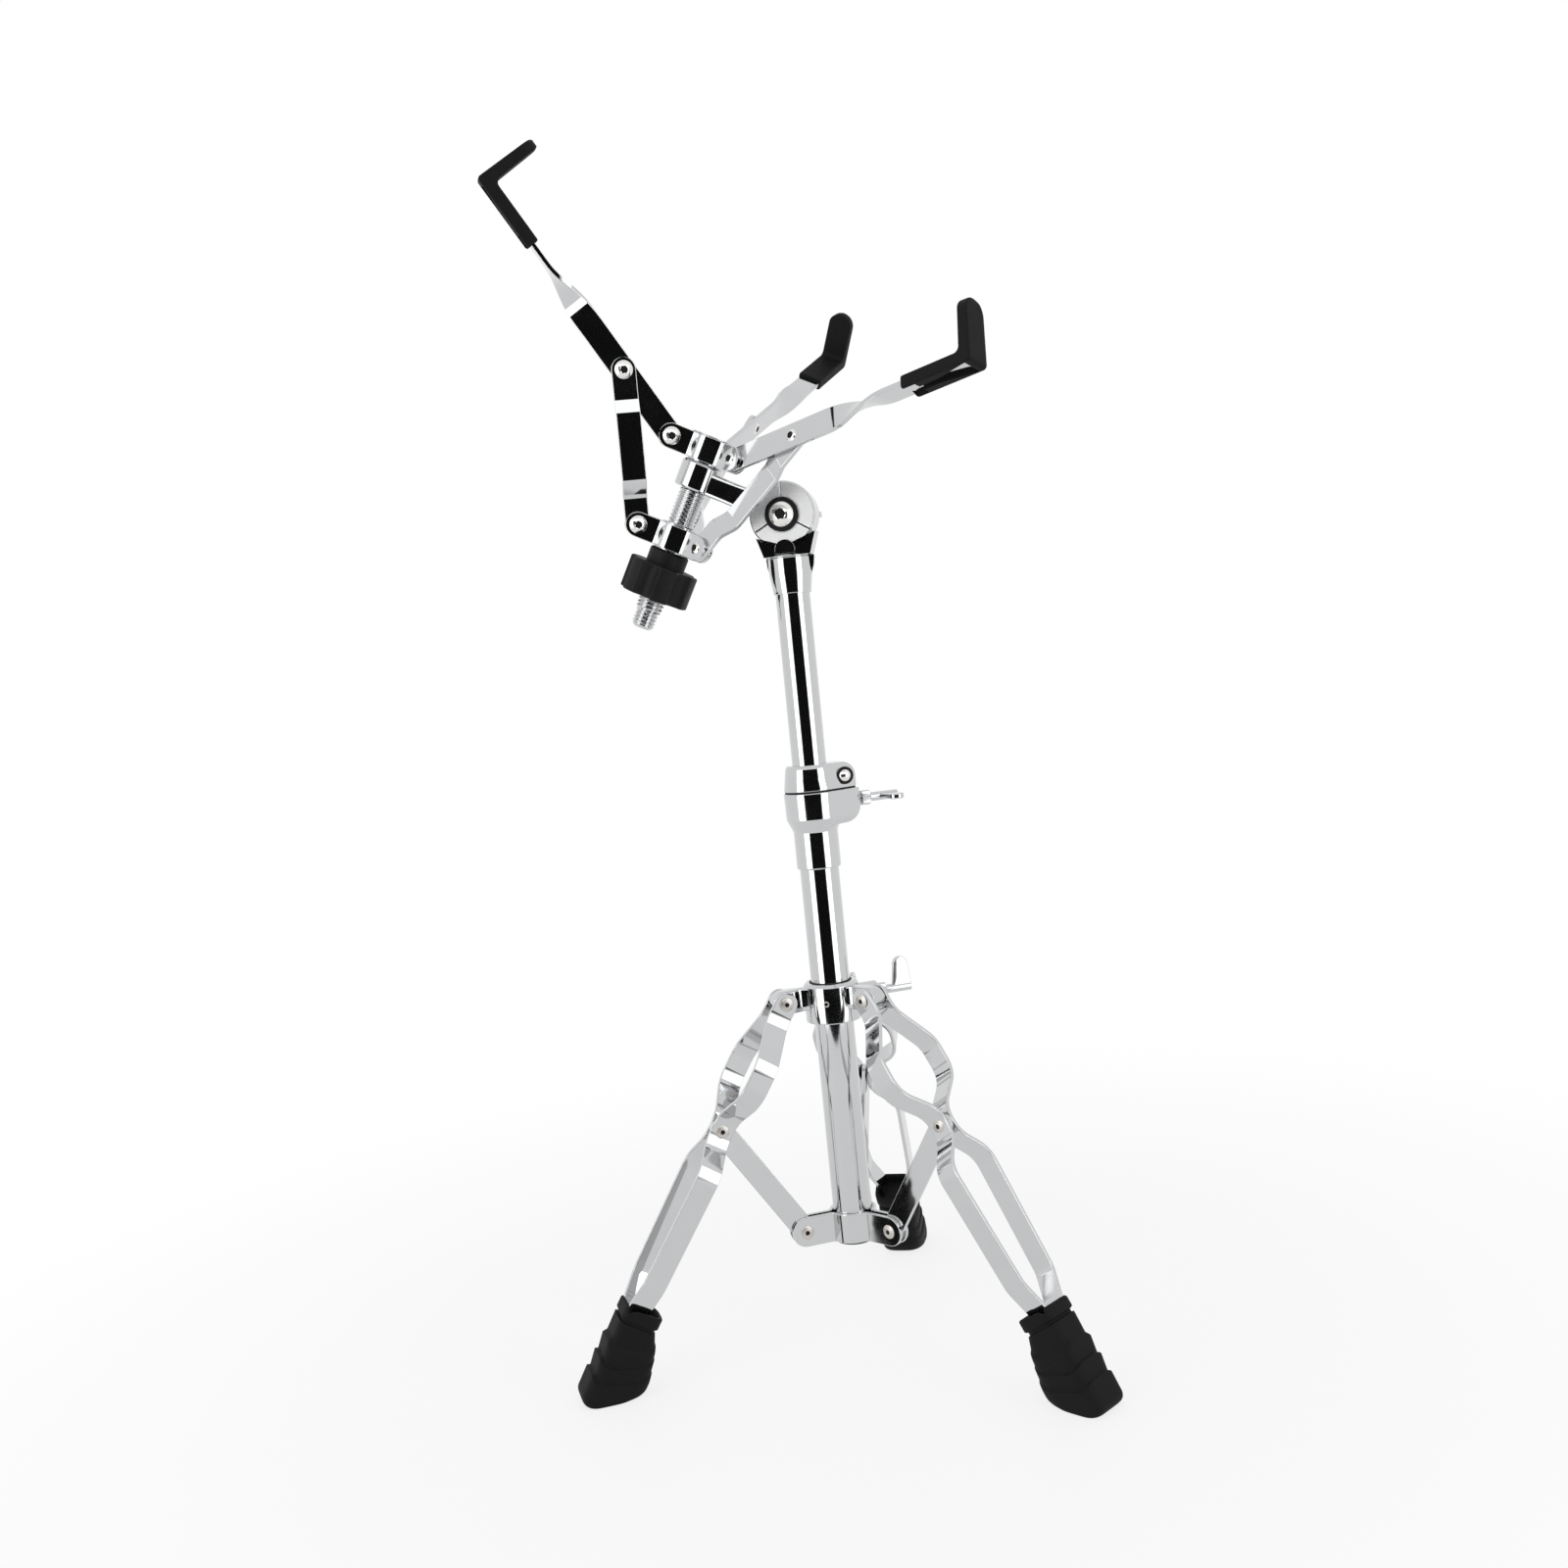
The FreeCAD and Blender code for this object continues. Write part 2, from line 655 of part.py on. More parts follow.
def foot_solid():
    """A rubber foot along X: a ring, a groove and a swelling body, cut flat on the floor."""
    ring_start = leg_foot_start - sheet.foot_ring_lap
    ring_end = ring_start + sheet.foot_ring_height
    body_start = ring_end + sheet.foot_groove_height
    lowest = (collar_pivot_height + sheet.foot_outer_side * math.sin(spread)) / math.cos(spread)
    body_length = lowest + sheet.overrun - body_start
    ring = (sheet.foot_ring_width, sheet.foot_ring_depth)
    waist = [side - 2 * sheet.foot_groove for side in ring]

    def section(spot, width, depth, inset=0):
        """A cross-section set in from the line of the foot's outer side."""
        centre = sheet.foot_outer_side - inset - depth / 2
        return rounded_rectangle(spot, width, depth, sheet.foot_corner, centre)

    collar = Part.makeLoft([section(ring_start, *ring), section(ring_end, *ring)], True, True)
    neck = Part.makeLoft([section(spot, *waist, sheet.foot_groove) for spot in (ring_end, body_start)],
                         True, True)
    rows = []
    for place_share, width_share, depth_share in FOOT_BODY_SHARES:
        spot = body_start + place_share * body_length
        rows.append((spot, width_share * sheet.foot_width, depth_share * sheet.foot_depth,
                     place_share * sheet.foot_outer_taper))
    body = Part.makeLoft([section(*row) for row in rows], True, True)
    rubber = collar.fuse([neck, body]).removeSplitter()
    floor_side = 4 * lowest
    floor = Part.makeBox(floor_side, floor_side, floor_side,
                         FreeCAD.Vector(-floor_side / 2, -floor_side / 2, -floor_side))
    floor.Placement = leg_line.inverse() * floor.Placement
    return rubber.cut(floor)


foot_pin_length = 2 * sheet.leg_toe_spacing + sheet.leg_strap_thickness
for index, frame in enumerate(leg_frames, start=1):
    leg_place = frame * leg_line
    straps = [leg_strap(side) for side in (1, -1)]
    for side, strap in zip(("left", "right"), straps):
        keep(f"leg_{index}_strap_{side}", coded(f"leg_{index}_strap_{side}", strap), leg_place)
    pin = Part.makeCylinder(sheet.foot_pin_diameter / 2, foot_pin_length,
                            FreeCAD.Vector(foot_pin_place, -foot_pin_length / 2, 0), Y_AXIS)
    keep(f"leg_{index}_foot_pin", coded(f"leg_{index}_foot_pin", pin), leg_place)
    keep(f"foot_{index}", coded(f"foot_{index}", foot_solid().cut(straps + [pin])), leg_place)
    middle = rivet(f"{brace_gap} + 2 * leg_strap_thickness", *leg_pin)
    keep(f"leg_{index}_rivet", middle, leg_place * shift(sheet.strut_length))


# Height clamp: a cast body with a skirt on the tube, a nylon bush and a wing screw

clamp_base = "tube_foot_height + tube_length - clamp_lap"
clamp_head = f"{clamp_base} + clamp_height"
clamp_screw_height = f"{clamp_head} - clamp_boss_drop"
boss_sides = ("-clamp_boss_width / 2", "clamp_boss_width / 2")
boss_middle = f"{clamp_head} - clamp_boss_height / 2"
boss_round = "clamp_boss_reach - clamp_boss_height / 2"
clamp_solids = [
    bar("z", "skirt_diameter", f"{clamp_base} - skirt_length", "skirt_length"),
    cone("skirt_diameter", "clamp_diameter", clamp_base, "clamp_cone"),
    bar("z", "clamp_diameter", f"{clamp_base} + clamp_cone", "clamp_height - clamp_cone"),
    block(("0", "clamp_boss_reach"), boss_sides, (boss_middle, clamp_head)),
    block(("0", boss_round), boss_sides, (f"{clamp_head} - clamp_boss_height", boss_middle)),
    bar("y", "clamp_boss_height", boss_sides[0], "clamp_boss_width", x=boss_round, z=boss_middle),
]
clamp_cuts = [
    bar("z", "tube_diameter + 2 * fit_gap", f"{clamp_base} - skirt_length - overrun",
        "skirt_length + clamp_height + 2 * overrun"),
    bar("x", "screw_diameter + 2 * fit_gap", "0", "clamp_boss_reach + overrun", z=clamp_screw_height),
]
keep("tube_clamp", cut(fused(clamp_solids), clamp_cuts))

bush_start = "tube_foot_height + tube_length"
bush_screw = bar("x", "screw_diameter + 2 * screw_tip_gap", "0", "clamp_diameter", z=clamp_screw_height)
keep("clamp_bush", cut(
    bar("z", "tube_diameter", bush_start, "clamp_height - clamp_lap"),
    [bar("z", "upper_diameter + 2 * fit_gap", f"{bush_start} - overrun", "clamp_height + overrun"),
     bush_screw],
))
keep("clamp_wing_screw",
     wing_screw("upper_diameter / 2 + screw_tip_gap", "clamp_boss_reach + clamp_screw_stand_off"),
     shift(0, 0, clamp_top - sheet.clamp_boss_drop) * turn(X_AXIS, 90))


# Memory lock: a split ring pinched on the upper tube by its own bolt

lock_bolt_height = "lock_height / 2"
lug_half = "lock_lug_width / 2"
lock_solids = [
    cone("lock_bottom_diameter", "lock_top_diameter", "0", "lock_height"),
    block(("0", "lock_bolt_reach"), (f"-{lug_half}", lug_half), ("0", "lock_height")),
    bar("y", "lock_height", f"-{lug_half}", "lock_lug_width", x="lock_bolt_reach", z=lock_bolt_height),
]
lock_cuts = [
    bar("z", "upper_diameter + 2 * fit_gap", "-overrun", "lock_height + 2 * overrun"),
    block(("0", "lock_bolt_reach + lock_height"), ("-lock_slit / 2", "lock_slit / 2"),
          ("-overrun", "lock_height + overrun")),
    bar("y", "lock_bolt_diameter + 2 * fit_gap", f"-{lug_half} - overrun", "lock_lug_width + 2 * overrun",
        x="lock_bolt_reach", z=lock_bolt_height),
]
lock_place = shift(0, 0, clamp_top)
keep("memory_lock", cut(fused(lock_solids), lock_cuts), lock_place)
lock_bolt = rivet("lock_lug_width", "lock_bolt_diameter", "lock_bolt_head", "lock_bolt_crown",
                  "lock_bolt_head", "lock_bolt_crown", "lock_bolt_head / 2")
keep("memory_lock_bolt", lock_bolt,
     lock_place * shift(sheet.lock_bolt_reach, 0, sheet.lock_height / 2) * turn(Z_AXIS, 180))


# Upper tube with a glide ring at its foot and a ferrule at its head

upper_bore = "upper_diameter - 2 * upper_wall"
keep("upper_tube", cut(
    bar("z", "upper_diameter", "upper_foot_height", "upper_length"),
    [bar("z", upper_bore, "upper_foot_height - overrun", "upper_length + 2 * overrun")],
))

spigot_radius = f"({upper_bore}) / 2 - fit_gap"
turned("glide_ring", [
    (f"{spigot_radius} - glide_wall", "upper_foot_height - glide_height"),
    ("tube_diameter / 2 - tube_wall - fit_gap", "upper_foot_height - glide_height"),
    ("tube_diameter / 2 - tube_wall - fit_gap", "upper_foot_height"),
    (spigot_radius, "upper_foot_height"),
    (spigot_radius, "upper_foot_height + glide_spigot"),
    (f"{spigot_radius} - glide_wall", "upper_foot_height + glide_spigot"),
])

upper_top = "upper_foot_height + upper_length"
ferrule_foot = f"{upper_top} + ferrule_roof - ferrule_length"
socket_radius = "upper_diameter / 2 + fit_gap"
turned("tilter_ferrule", [
    (socket_radius, ferrule_foot),
    (f"{socket_radius} + ferrule_lip", ferrule_foot),
    (f"{socket_radius} + ferrule_lip", f"{ferrule_foot} + ferrule_neck"),
    ("ferrule_diameter / 2", f"{ferrule_foot} + ferrule_neck + ferrule_taper"),
    ("ferrule_diameter / 2", f"{upper_top} + ferrule_roof"),
    ("0", f"{upper_top} + ferrule_roof"),
    ("0", upper_top),
    (socket_radius, upper_top),
])


# Tilter: two discs on one bolt with a friction disc between them

seat = "friction_thickness / 2"
disc_back = "friction_thickness / 2 + disc_thickness"
base_low = "-tilter_rise"
base_flare = doc.addObject("Part::Wedge", "flare")
for side, text in {
    "Xmin": "-ferrule_diameter / 2", "Xmax": "ferrule_diameter / 2",
    "X2min": "-disc_diameter / 2", "X2max": "disc_diameter / 2",
    "Ymin": base_low, "Ymax": "0",
    "Zmin": f"-({disc_back})", "Zmax": f"-({seat})",
    "Z2min": f"-({disc_back})", "Z2max": f"-({seat})",
}.items():
    base_flare.setExpression(side, formula(text))
base_flare.Placement = turn(X_AXIS, 90)
cradle = doc.addObject("Part::Wedge", "cradle")
for side, text in {
    "Xmin": "-ferrule_diameter / 2", "Xmax": "ferrule_diameter / 2",
    "X2min": "-cradle_width / 2", "X2max": "cradle_width / 2",
    "Ymin": base_low, "Ymax": "-cradle_drop",
    "Zmin": f"-({seat})", "Zmax": disc_back,
    "Z2min": f"-({seat})", "Z2max": disc_back,
}.items():
    cradle.setExpression(side, formula(text))
cradle.Placement = turn(X_AXIS, 90)
cradle = cut(cradle, [bar("y", "disc_diameter + 2 * cradle_gap", f"-({disc_back}) - overrun",
                          f"{disc_back} + {seat} + overrun")])
bolt_bore = "tilter_bolt_diameter + 2 * fit_gap"
bolt_hole = (bolt_bore, f"-({disc_back}) - overrun", f"2 * ({disc_back} + overrun)")
head_seat = f"-({disc_back}) - tilter_washer_thickness"
keep("tilter_base", cut(
    fused([
        cone("ferrule_diameter", "ferrule_diameter + 2 * base_flare", base_low, "base_puck"),
        base_flare,
        cradle,
        bar("y", "disc_diameter", seat, "disc_thickness"),
    ]),
    [bar("y", *bolt_hole)],
), tilter_frame)
keep("tilter_friction_disc", cut(
    bar("y", "friction_diameter", f"-{seat}", "friction_thickness"),
    [bar("y", *bolt_hole)],
), tilter_frame)
keep("tilter_washer", cut(
    bar("y", "tilter_washer_diameter", head_seat, "tilter_washer_thickness"),
    [bar("y", bolt_bore, f"{head_seat} - overrun", "tilter_washer_thickness + 2 * overrun")],
), tilter_frame)
bolt_length = f"2 * ({disc_back}) + tilter_washer_thickness + tilter_bolt_tail"
keep("tilter_bolt", cut(
    fused([
        bar("y", "tilter_bolt_diameter", head_seat, bolt_length),
        dome("-y", "tilter_bolt_head", "tilter_bolt_crown", head_seat),
    ]),
    [bar("y", "tilter_socket", f"{head_seat} - 3 * tilter_bolt_crown / 2", "tilter_bolt_crown")],
), tilter_frame)
nut_start = f"{disc_back} + side_play"
keep("tilter_wing_nut", cut(
    fused([
        bar("y", "nut_diameter", nut_start, "nut_length"),
        block(("-nut_wing_reach", "nut_wing_reach"),
              (f"{nut_start} + nut_length / 3", f"{nut_start} + nut_length / 3 + nut_wing_width"),
              ("-nut_wing_thickness / 2", "nut_wing_thickness / 2")),
    ]),
    [bar("y", bolt_bore, "0", "2 * (tilter_bolt_tail + disc_thickness)")],
), tilter_frame)


# Tilter arm: front disc, stepped web and the collar that holds the threaded rod

web_half = "web_height / 2"
disc_front = f"-({disc_back})"
web_front = f"{disc_front} + web_setback"
web_back = f"{disc_front} + disc_thickness + web_thickness / 2"
keep("tilter_arm", cut(
    fused([
        bar("y", "disc_diameter", disc_front, "disc_thickness"),
        block(("-web_step - disc_thickness", "0"), (web_front, f"-{seat}"), (f"-{web_half}", web_half)),
        block(("-rod_offset", "-web_step"), (web_front, web_back), (f"-{web_half}", web_half)),
        bar("z", "rod_collar_diameter", "-rod_collar_drop", "rod_collar_height", x="-rod_offset"),
    ]),
    [
        bar("y", *bolt_hole),
        bar("z", "rod_diameter + 2 * fit_gap", "-rod_collar_drop - overrun",
            "rod_collar_height + 2 * overrun", x="-rod_offset"),
    ],
), basket_frame)


# Basket hubs: threaded rod, fixed upper hub and sliding lower hub

hub_core = "rod_diameter + 2 * fit_gap + 2 * sleeve_wall"
hub_half = "basket_ear_height / 2"
rod_top = f"basket_pivot_rise + {hub_half} + sleeve_lap"
keep("threaded_rod", fused([
    bar("z", "rod_diameter", "-rod_drop + rod_tip_length", f"rod_drop - rod_tip_length + {rod_top}"),
    bar("z", "rod_tip_diameter", "-rod_drop", "rod_tip_length"),
]), rod_frame)


def hub_sleeve(label, at, top_flange):
    """The round core of a hub, with a flange over its plates where the hub is the upper one."""
    outline = [
        ("rod_diameter / 2 + fit_gap", f"-{hub_half} - sleeve_lap"),
        (f"({hub_core}) / 2", f"-{hub_half} - sleeve_lap"),
        (f"({hub_core}) / 2", f"{hub_half} + sleeve_lap"),
        ("rod_diameter / 2 + fit_gap", f"{hub_half} + sleeve_lap"),
    ]
    if top_flange:
        outline[2:3] = [
            (f"({hub_core}) / 2", hub_half),
            (f"({hub_core}) / 2 + plate_thickness", hub_half),
            (f"({hub_core}) / 2 + plate_thickness", f"{hub_half} + sleeve_lap"),
        ]
    return turned(label, outline, at)


arm_gap = "arm_thickness + 2 * side_play"
basket_pin = ("basket_pin_diameter", "basket_pin_head", "basket_pin_crown", "basket_pin_tail",
              "basket_tail_crown", "basket_socket")
for name, at in (("upper", upper_hub_frame), ("lower", lower_hub_frame)):
    hub_sleeve(f"{name}_hub_sleeve", at, name == "upper")
    plate = hub_plate(hub_core, "basket_ear_height", "basket_pivot_reach", arm_gap, "basket_pin_diameter")
    three_of(f"{name}_hub_plates", plate, at)
    three_rivets(f"{name}_hub_rivets", rivet(f"{arm_gap} + 2 * plate_thickness", *basket_pin),
                 "basket_pivot_reach", at)


# Basket arms: twisted straps with a bent claw, each in a slotted rubber boot

def twisted_strap(start, length, width, thickness):
    """A strap along X whose flat turns a quarter turn, from standing to lying."""
    wires = []
    for step in range(TWIST_STEPS + 1):
        share = step / TWIST_STEPS
        corners = []
        for y, z in ((1, 1), (-1, 1), (-1, -1), (1, -1)):
            corners.append(FreeCAD.Vector(0, y * thickness / 2, z * width / 2))
        spot = shift(start + share * length) * turn(X_AXIS, -90 * share)
        corners = [spot.multVec(corner) for corner in corners]
        wires.append(Part.makePolygon(corners + corners[:1]))
    return Part.makeLoft(wires, True, True)


arm_half = "arm_thickness / 2"
boot_start = "arm_length - boot_length"
twist_end = f"{boot_start} - boot_setback"
twist_start = f"{twist_end} - arm_blend_length"
boot_half = "boot_thickness / 2"
claw_end = "claw_length - claw_cover"
for index, frame in enumerate(arm_frames, start=1):
    arm_place = frame * shift(sheet.basket_pivot_reach) * turn(Y_AXIS, -sheet.arm_angle)
    twist = twisted_strap(number_of(twist_start), sheet.arm_blend_length,
                          sheet.arm_width, sheet.arm_thickness)
    blade = fused([
        block(("0", twist_start), (f"-{arm_half}", arm_half), ("-arm_width / 2", "arm_width / 2")),
        bar("y", "arm_width", f"-{arm_half}", "arm_thickness"),
        coded("twist", twist),
        block((twist_end, f"arm_length + {arm_half}"), ("-arm_width / 2", "arm_width / 2"),
              (f"-{arm_half}", arm_half)),
        block((f"arm_length - {arm_half}", f"arm_length + {arm_half}"), ("-arm_width / 2", "arm_width / 2"),
              ("0", claw_end)),
    ])
    hole = ("basket_pin_diameter + 2 * fit_gap", f"-{arm_half} - overrun", "arm_thickness + 2 * overrun")
    keep(f"arm_{index}", cut(blade, [bar("y", *hole), bar("y", *hole, x="link_pivot")]), arm_place)
    rubber = fused([
        block((boot_start, f"arm_length + {boot_half}"), ("-boot_width / 2", "boot_width / 2"),
              (f"-{boot_half}", boot_half)),
        block((f"arm_length - {boot_half}", f"arm_length + {boot_half}"),
              ("-boot_width / 2", "boot_width / 2"), ("0", "claw_length - boot_width / 2")),
        bar("x", "boot_width", f"arm_length - {boot_half}", "boot_thickness",
            z="claw_length - boot_width / 2"),
    ])
    pocket = [
        block((f"{boot_start} - overrun", f"arm_length + {arm_half}"), ("-arm_width / 2", "arm_width / 2"),
              (f"-{arm_half}", arm_half)),
        block((f"arm_length - {arm_half}", f"arm_length + {arm_half}"), ("-arm_width / 2", "arm_width / 2"),
              ("0", claw_end)),
        block((f"{boot_start} + boot_thickness", f"arm_length - {arm_half}"),
              ("-boot_slot_width / 2", "boot_slot_width / 2"), (f"-{boot_half} - overrun", "0")),
    ]
    keep(f"arm_{index}_boot", cut(rubber, pocket), arm_place)
    grip = "2 * arm_thickness + side_play"
    pin = rivet(grip, *basket_pin)
    keep(f"arm_{index}_rivet", pin,
         arm_place * shift(sheet.link_pivot, (sheet.arm_thickness + sheet.side_play) / 2))


# Basket links: stepped straps from each arm down to the sliding hub

link_offset = sheet.arm_thickness + sheet.side_play
link_points = [
    (-sheet.arm_width / 2, link_offset),
    (LINK_STEP_SHARES[0] * link_length, link_offset),
    (LINK_STEP_SHARES[1] * link_length, sheet.link_bow),
    (LINK_STEP_SHARES[2] * link_length, sheet.link_bow),
    (LINK_STEP_SHARES[3] * link_length, 0),
    (link_length + sheet.arm_width / 2, 0),
]
link_depth = 4 * sheet.link_bow + sheet.arm_width
for index, frame in enumerate(arm_frames, start=1):
    strip = bent_strip(link_points, sheet.arm_thickness, sheet.arm_width, sheet.leg_bend_radius)
    lower_end = round_end(sheet.arm_width / 2, link_depth).mirror(FreeCAD.Vector(), X_AXIS)
    strip = strip.cut([
        round_end(sheet.arm_width / 2, link_depth),
        lower_end.translated(X_AXIS * link_length),
        pin_hole(sheet.basket_pin_diameter + 2 * sheet.fit_gap, link_depth),
        pin_hole(sheet.link_hole, link_depth, link_length),
    ])
    link_place = frame * shift(sheet.basket_pivot_reach + link_out, 0, link_up) * turn(Y_AXIS, link_fall)
    keep(f"link_{index}", coded(f"link_{index}", strip), link_place)


# Clamping knob: a lobed grip with a threaded insert, under the sliding hub

knob_top = f"-{hub_half} - sleeve_lap - side_play"
knob_floor = f"{knob_top} - knob_neck_height - knob_height"
knob_through = (f"{knob_floor} - overrun", "knob_height + knob_neck_height + 2 * overrun")
insert_diameter = "rod_diameter + 2 * fit_gap + 2 * knob_insert_wall"
grooves = []
for index in range(LOBES):
    groove = bar("z", "knob_groove_diameter", f"{knob_floor} - overrun", "knob_height + 2 * overrun",
                 x="knob_diameter / 2 + knob_groove_diameter / 4")
    spun = doc.addObject("Part::Compound", "groove")
    spun.Links = [groove]
    spun.Placement = turn(Z_AXIS, 360 / LOBES * index)
    grooves.append(spun)
keep("knob", cut(
    fused([
        bar("z", "knob_diameter", knob_floor, "knob_height"),
        bar("z", "knob_neck_diameter", f"{knob_top} - knob_neck_height", "knob_neck_height"),
    ]),
    grooves + [bar("z", insert_diameter, *knob_through)],
), lower_hub_frame)
keep("knob_insert", cut(
    bar("z", insert_diameter, knob_floor, "knob_height + knob_neck_height"),
    [bar("z", "rod_diameter + 2 * fit_gap", *knob_through)],
), lower_hub_frame)


# Checks on the finished document, then one file for each sub-part

doc.recompute()
for obj in doc.Objects:
    if {"Invalid", "Error"} & set(obj.State):
        raise RuntimeError(f"{obj.Label} failed: {obj.State}")
for node in nodes:
    if node.Shape.isNull() or not node.Shape.isValid() or not node.Shape.Solids:
        raise RuntimeError(f"{node.Label} has no sound solid")

os.makedirs("parts", exist_ok=True)
for node in nodes:
    node.Shape.exportStep(f"parts/{node.Label}.step")
print(len(nodes), "sub-parts written")
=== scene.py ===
import bpy
import numpy as np
from mathutils import Matrix


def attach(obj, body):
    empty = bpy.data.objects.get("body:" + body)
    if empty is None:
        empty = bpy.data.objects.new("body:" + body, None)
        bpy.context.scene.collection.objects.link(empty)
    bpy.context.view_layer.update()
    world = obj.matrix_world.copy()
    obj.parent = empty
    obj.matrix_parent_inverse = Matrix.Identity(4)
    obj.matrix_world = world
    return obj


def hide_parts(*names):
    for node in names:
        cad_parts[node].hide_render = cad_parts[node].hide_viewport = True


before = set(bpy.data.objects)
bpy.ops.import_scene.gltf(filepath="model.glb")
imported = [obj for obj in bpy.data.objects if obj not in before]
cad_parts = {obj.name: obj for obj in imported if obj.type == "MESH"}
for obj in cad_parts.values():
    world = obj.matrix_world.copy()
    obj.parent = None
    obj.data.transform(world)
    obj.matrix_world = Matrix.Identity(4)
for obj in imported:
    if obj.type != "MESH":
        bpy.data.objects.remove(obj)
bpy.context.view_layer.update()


# Column tube
# The lower tube of the stand, that the clamp, the leg collar and the brace collar all sit on.
# Drawn steel, polished and chrome plated; its cut ends are eased on a lathe.

MM = 0.001


def moved(x=0.0, y=0.0, z=0.0):
    """A place shifted along each axis, in millimetres."""
    at = np.eye(4)
    at[:3, 3] = x, y, z
    return at


def spun(axis, degrees):
    """A place turned about one axis: the other two axes mix through a cosine and a sine."""
    first, second = {"x": (1, 2), "y": (2, 0), "z": (0, 1)}[axis]
    cosine, sine = np.cos(np.radians(degrees)), np.sin(np.radians(degrees))
    at = np.eye(4)
    at[first, first] = at[second, second] = cosine
    at[first, second], at[second, first] = -sine, sine
    return at


def skin(grid, at, ring=False):
    """A grid of loops taken into a place, the turn times each point plus the shift, with four-sided faces
    between each loop and the next and a fan from the middle of each end loop; a ring joins its last
    loop to its first instead."""
    grid = grid @ at[:3, :3].T + at[:3, 3]
    rows, around = grid.shape[:2]
    here = np.arange(around)
    after = (here + 1) % around
    low = np.arange(rows if ring else rows - 1)[:, None]
    high = (low + 1) % rows
    quads = np.stack([low * around + here, low * around + after,
                      high * around + after, high * around + here], -1).reshape(-1, 4)
    points = grid.reshape(-1, 3)
    if ring:
        return points, quads, np.zeros((0, 3), int)
    middles = np.stack([grid[0].mean(0), grid[-1].mean(0)])
    first = np.full(around, rows * around)
    last = (rows - 1) * around
    fans = np.vstack([np.stack([after, here, first], -1),
                      np.stack([last + here, last + after, first + 1], -1)])
    return np.vstack([points, middles]), quads, fans


def circle(around):
    """Angles evenly spaced round a full turn."""
    return np.linspace(0, 2 * np.pi, around, endpoint=False)


def polar(radius, u, *height):
    """Points radius * (cos u, sin u), and at a height if one is given."""
    return np.stack([radius * np.cos(u), radius * np.sin(u)] + [level + 0 * u for level in height], -1)


def eased(corners, radius, closed=False, steps=5):
    """A line whose corners are arcs: between its two touching points each arc is the weighted mean of
    first touch, corner and last touch, (1-t)^2, 2wt(1-t) and t^2, with w the sine of half the corner."""
    corners = np.asarray(corners, float)
    middle = corners if closed else corners[1:-1]
    back = (np.roll(corners, 1, 0) if closed else corners[:-2]) - middle
    ahead = (np.roll(corners, -1, 0) if closed else corners[2:]) - middle
    long_back, long_ahead = np.linalg.norm(back, axis=1), np.linalg.norm(ahead, axis=1)
    back, ahead = back / long_back[:, None], ahead / long_ahead[:, None]
    half = np.arccos(np.clip((back * ahead).sum(1), -1, 1)) / 2
    reach = np.minimum(radius / np.tan(half), 0.49 * np.minimum(long_back, long_ahead))[:, None]
    t = np.linspace(0, 1, steps)[:, None, None]
    shares = (1 - t) ** 2, 2 * t * (1 - t) * np.sin(half)[:, None], t ** 2
    arcs = shares[0] * (middle + back * reach) + shares[1] * middle + shares[2] * (middle + ahead * reach)
    arcs = np.swapaxes(arcs / (shares[0] + shares[1] + shares[2]), 0, 1).reshape(-1, corners.shape[1])
    return arcs if closed else np.vstack([corners[:1], arcs, corners[-1:]])


def turned(profile, at=np.eye(4), around=96, ring=False, hexed=0):
    """A lathe shape: each (radius, height) of the profile becomes the loop radius * (cos u, sin u) at
    that height; the last hexed rows are six-sided, the radius over the cosine from each flat's middle."""
    radius, height = np.asarray(profile, float).T[:, :, None]
    u = circle(around)
    six = np.cos(np.pi / 6) / np.cos(u % (np.pi / 3) - np.pi / 6)
    rows = np.arange(len(radius))[:, None]
    radius = radius * np.where(rows >= len(radius) - hexed, six, 1.0)
    return skin(polar(radius, u, height), at, ring)


def hoop(corners, edge, at=np.eye(4), around=96, steps=5):
    """A lathe ring: a closed profile with eased corners, turned round the axis."""
    return turned(eased(corners, edge, True, steps), at, around, ring=True)


def tube(inner, outer, low, high, edge, at=np.eye(4), around=96, steps=4):
    """A hoop with a plain rectangle for its profile."""
    return hoop([(outer, low), (outer, high), (inner, high), (inner, low)], edge, at, around, steps)


slots = {}


def make(name, shells, body, finish, *stands_for, slot=None, sharp=38):
    """One piece from its shells, in metres, shaded smooth up to a sharp angle and with flats kept flat."""
    starts = np.cumsum([0] + [len(points) for points, _, _ in shells])
    faces = [face for start, (_, quads, fans) in zip(starts, shells)
             for face in (quads + start).tolist() + (fans + start).tolist()]
    mesh = bpy.data.meshes.new(name)
    mesh.from_pydata((np.vstack([points for points, _, _ in shells]) * MM).tolist(), [], faces)
    mesh.shade_smooth()
    mesh.set_sharp_from_angle(angle=np.radians(sharp))
    mesh.materials.append(finish)
    piece = bpy.data.objects.new(name, mesh)
    bpy.context.collection.objects.link(piece)
    flats = piece.modifiers.new("flats", "WEIGHTED_NORMAL")
    flats.keep_sharp = True
    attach(piece, body)
    slot = slot or slots[finish.name]
    if stands_for:
        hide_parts(*stands_for)


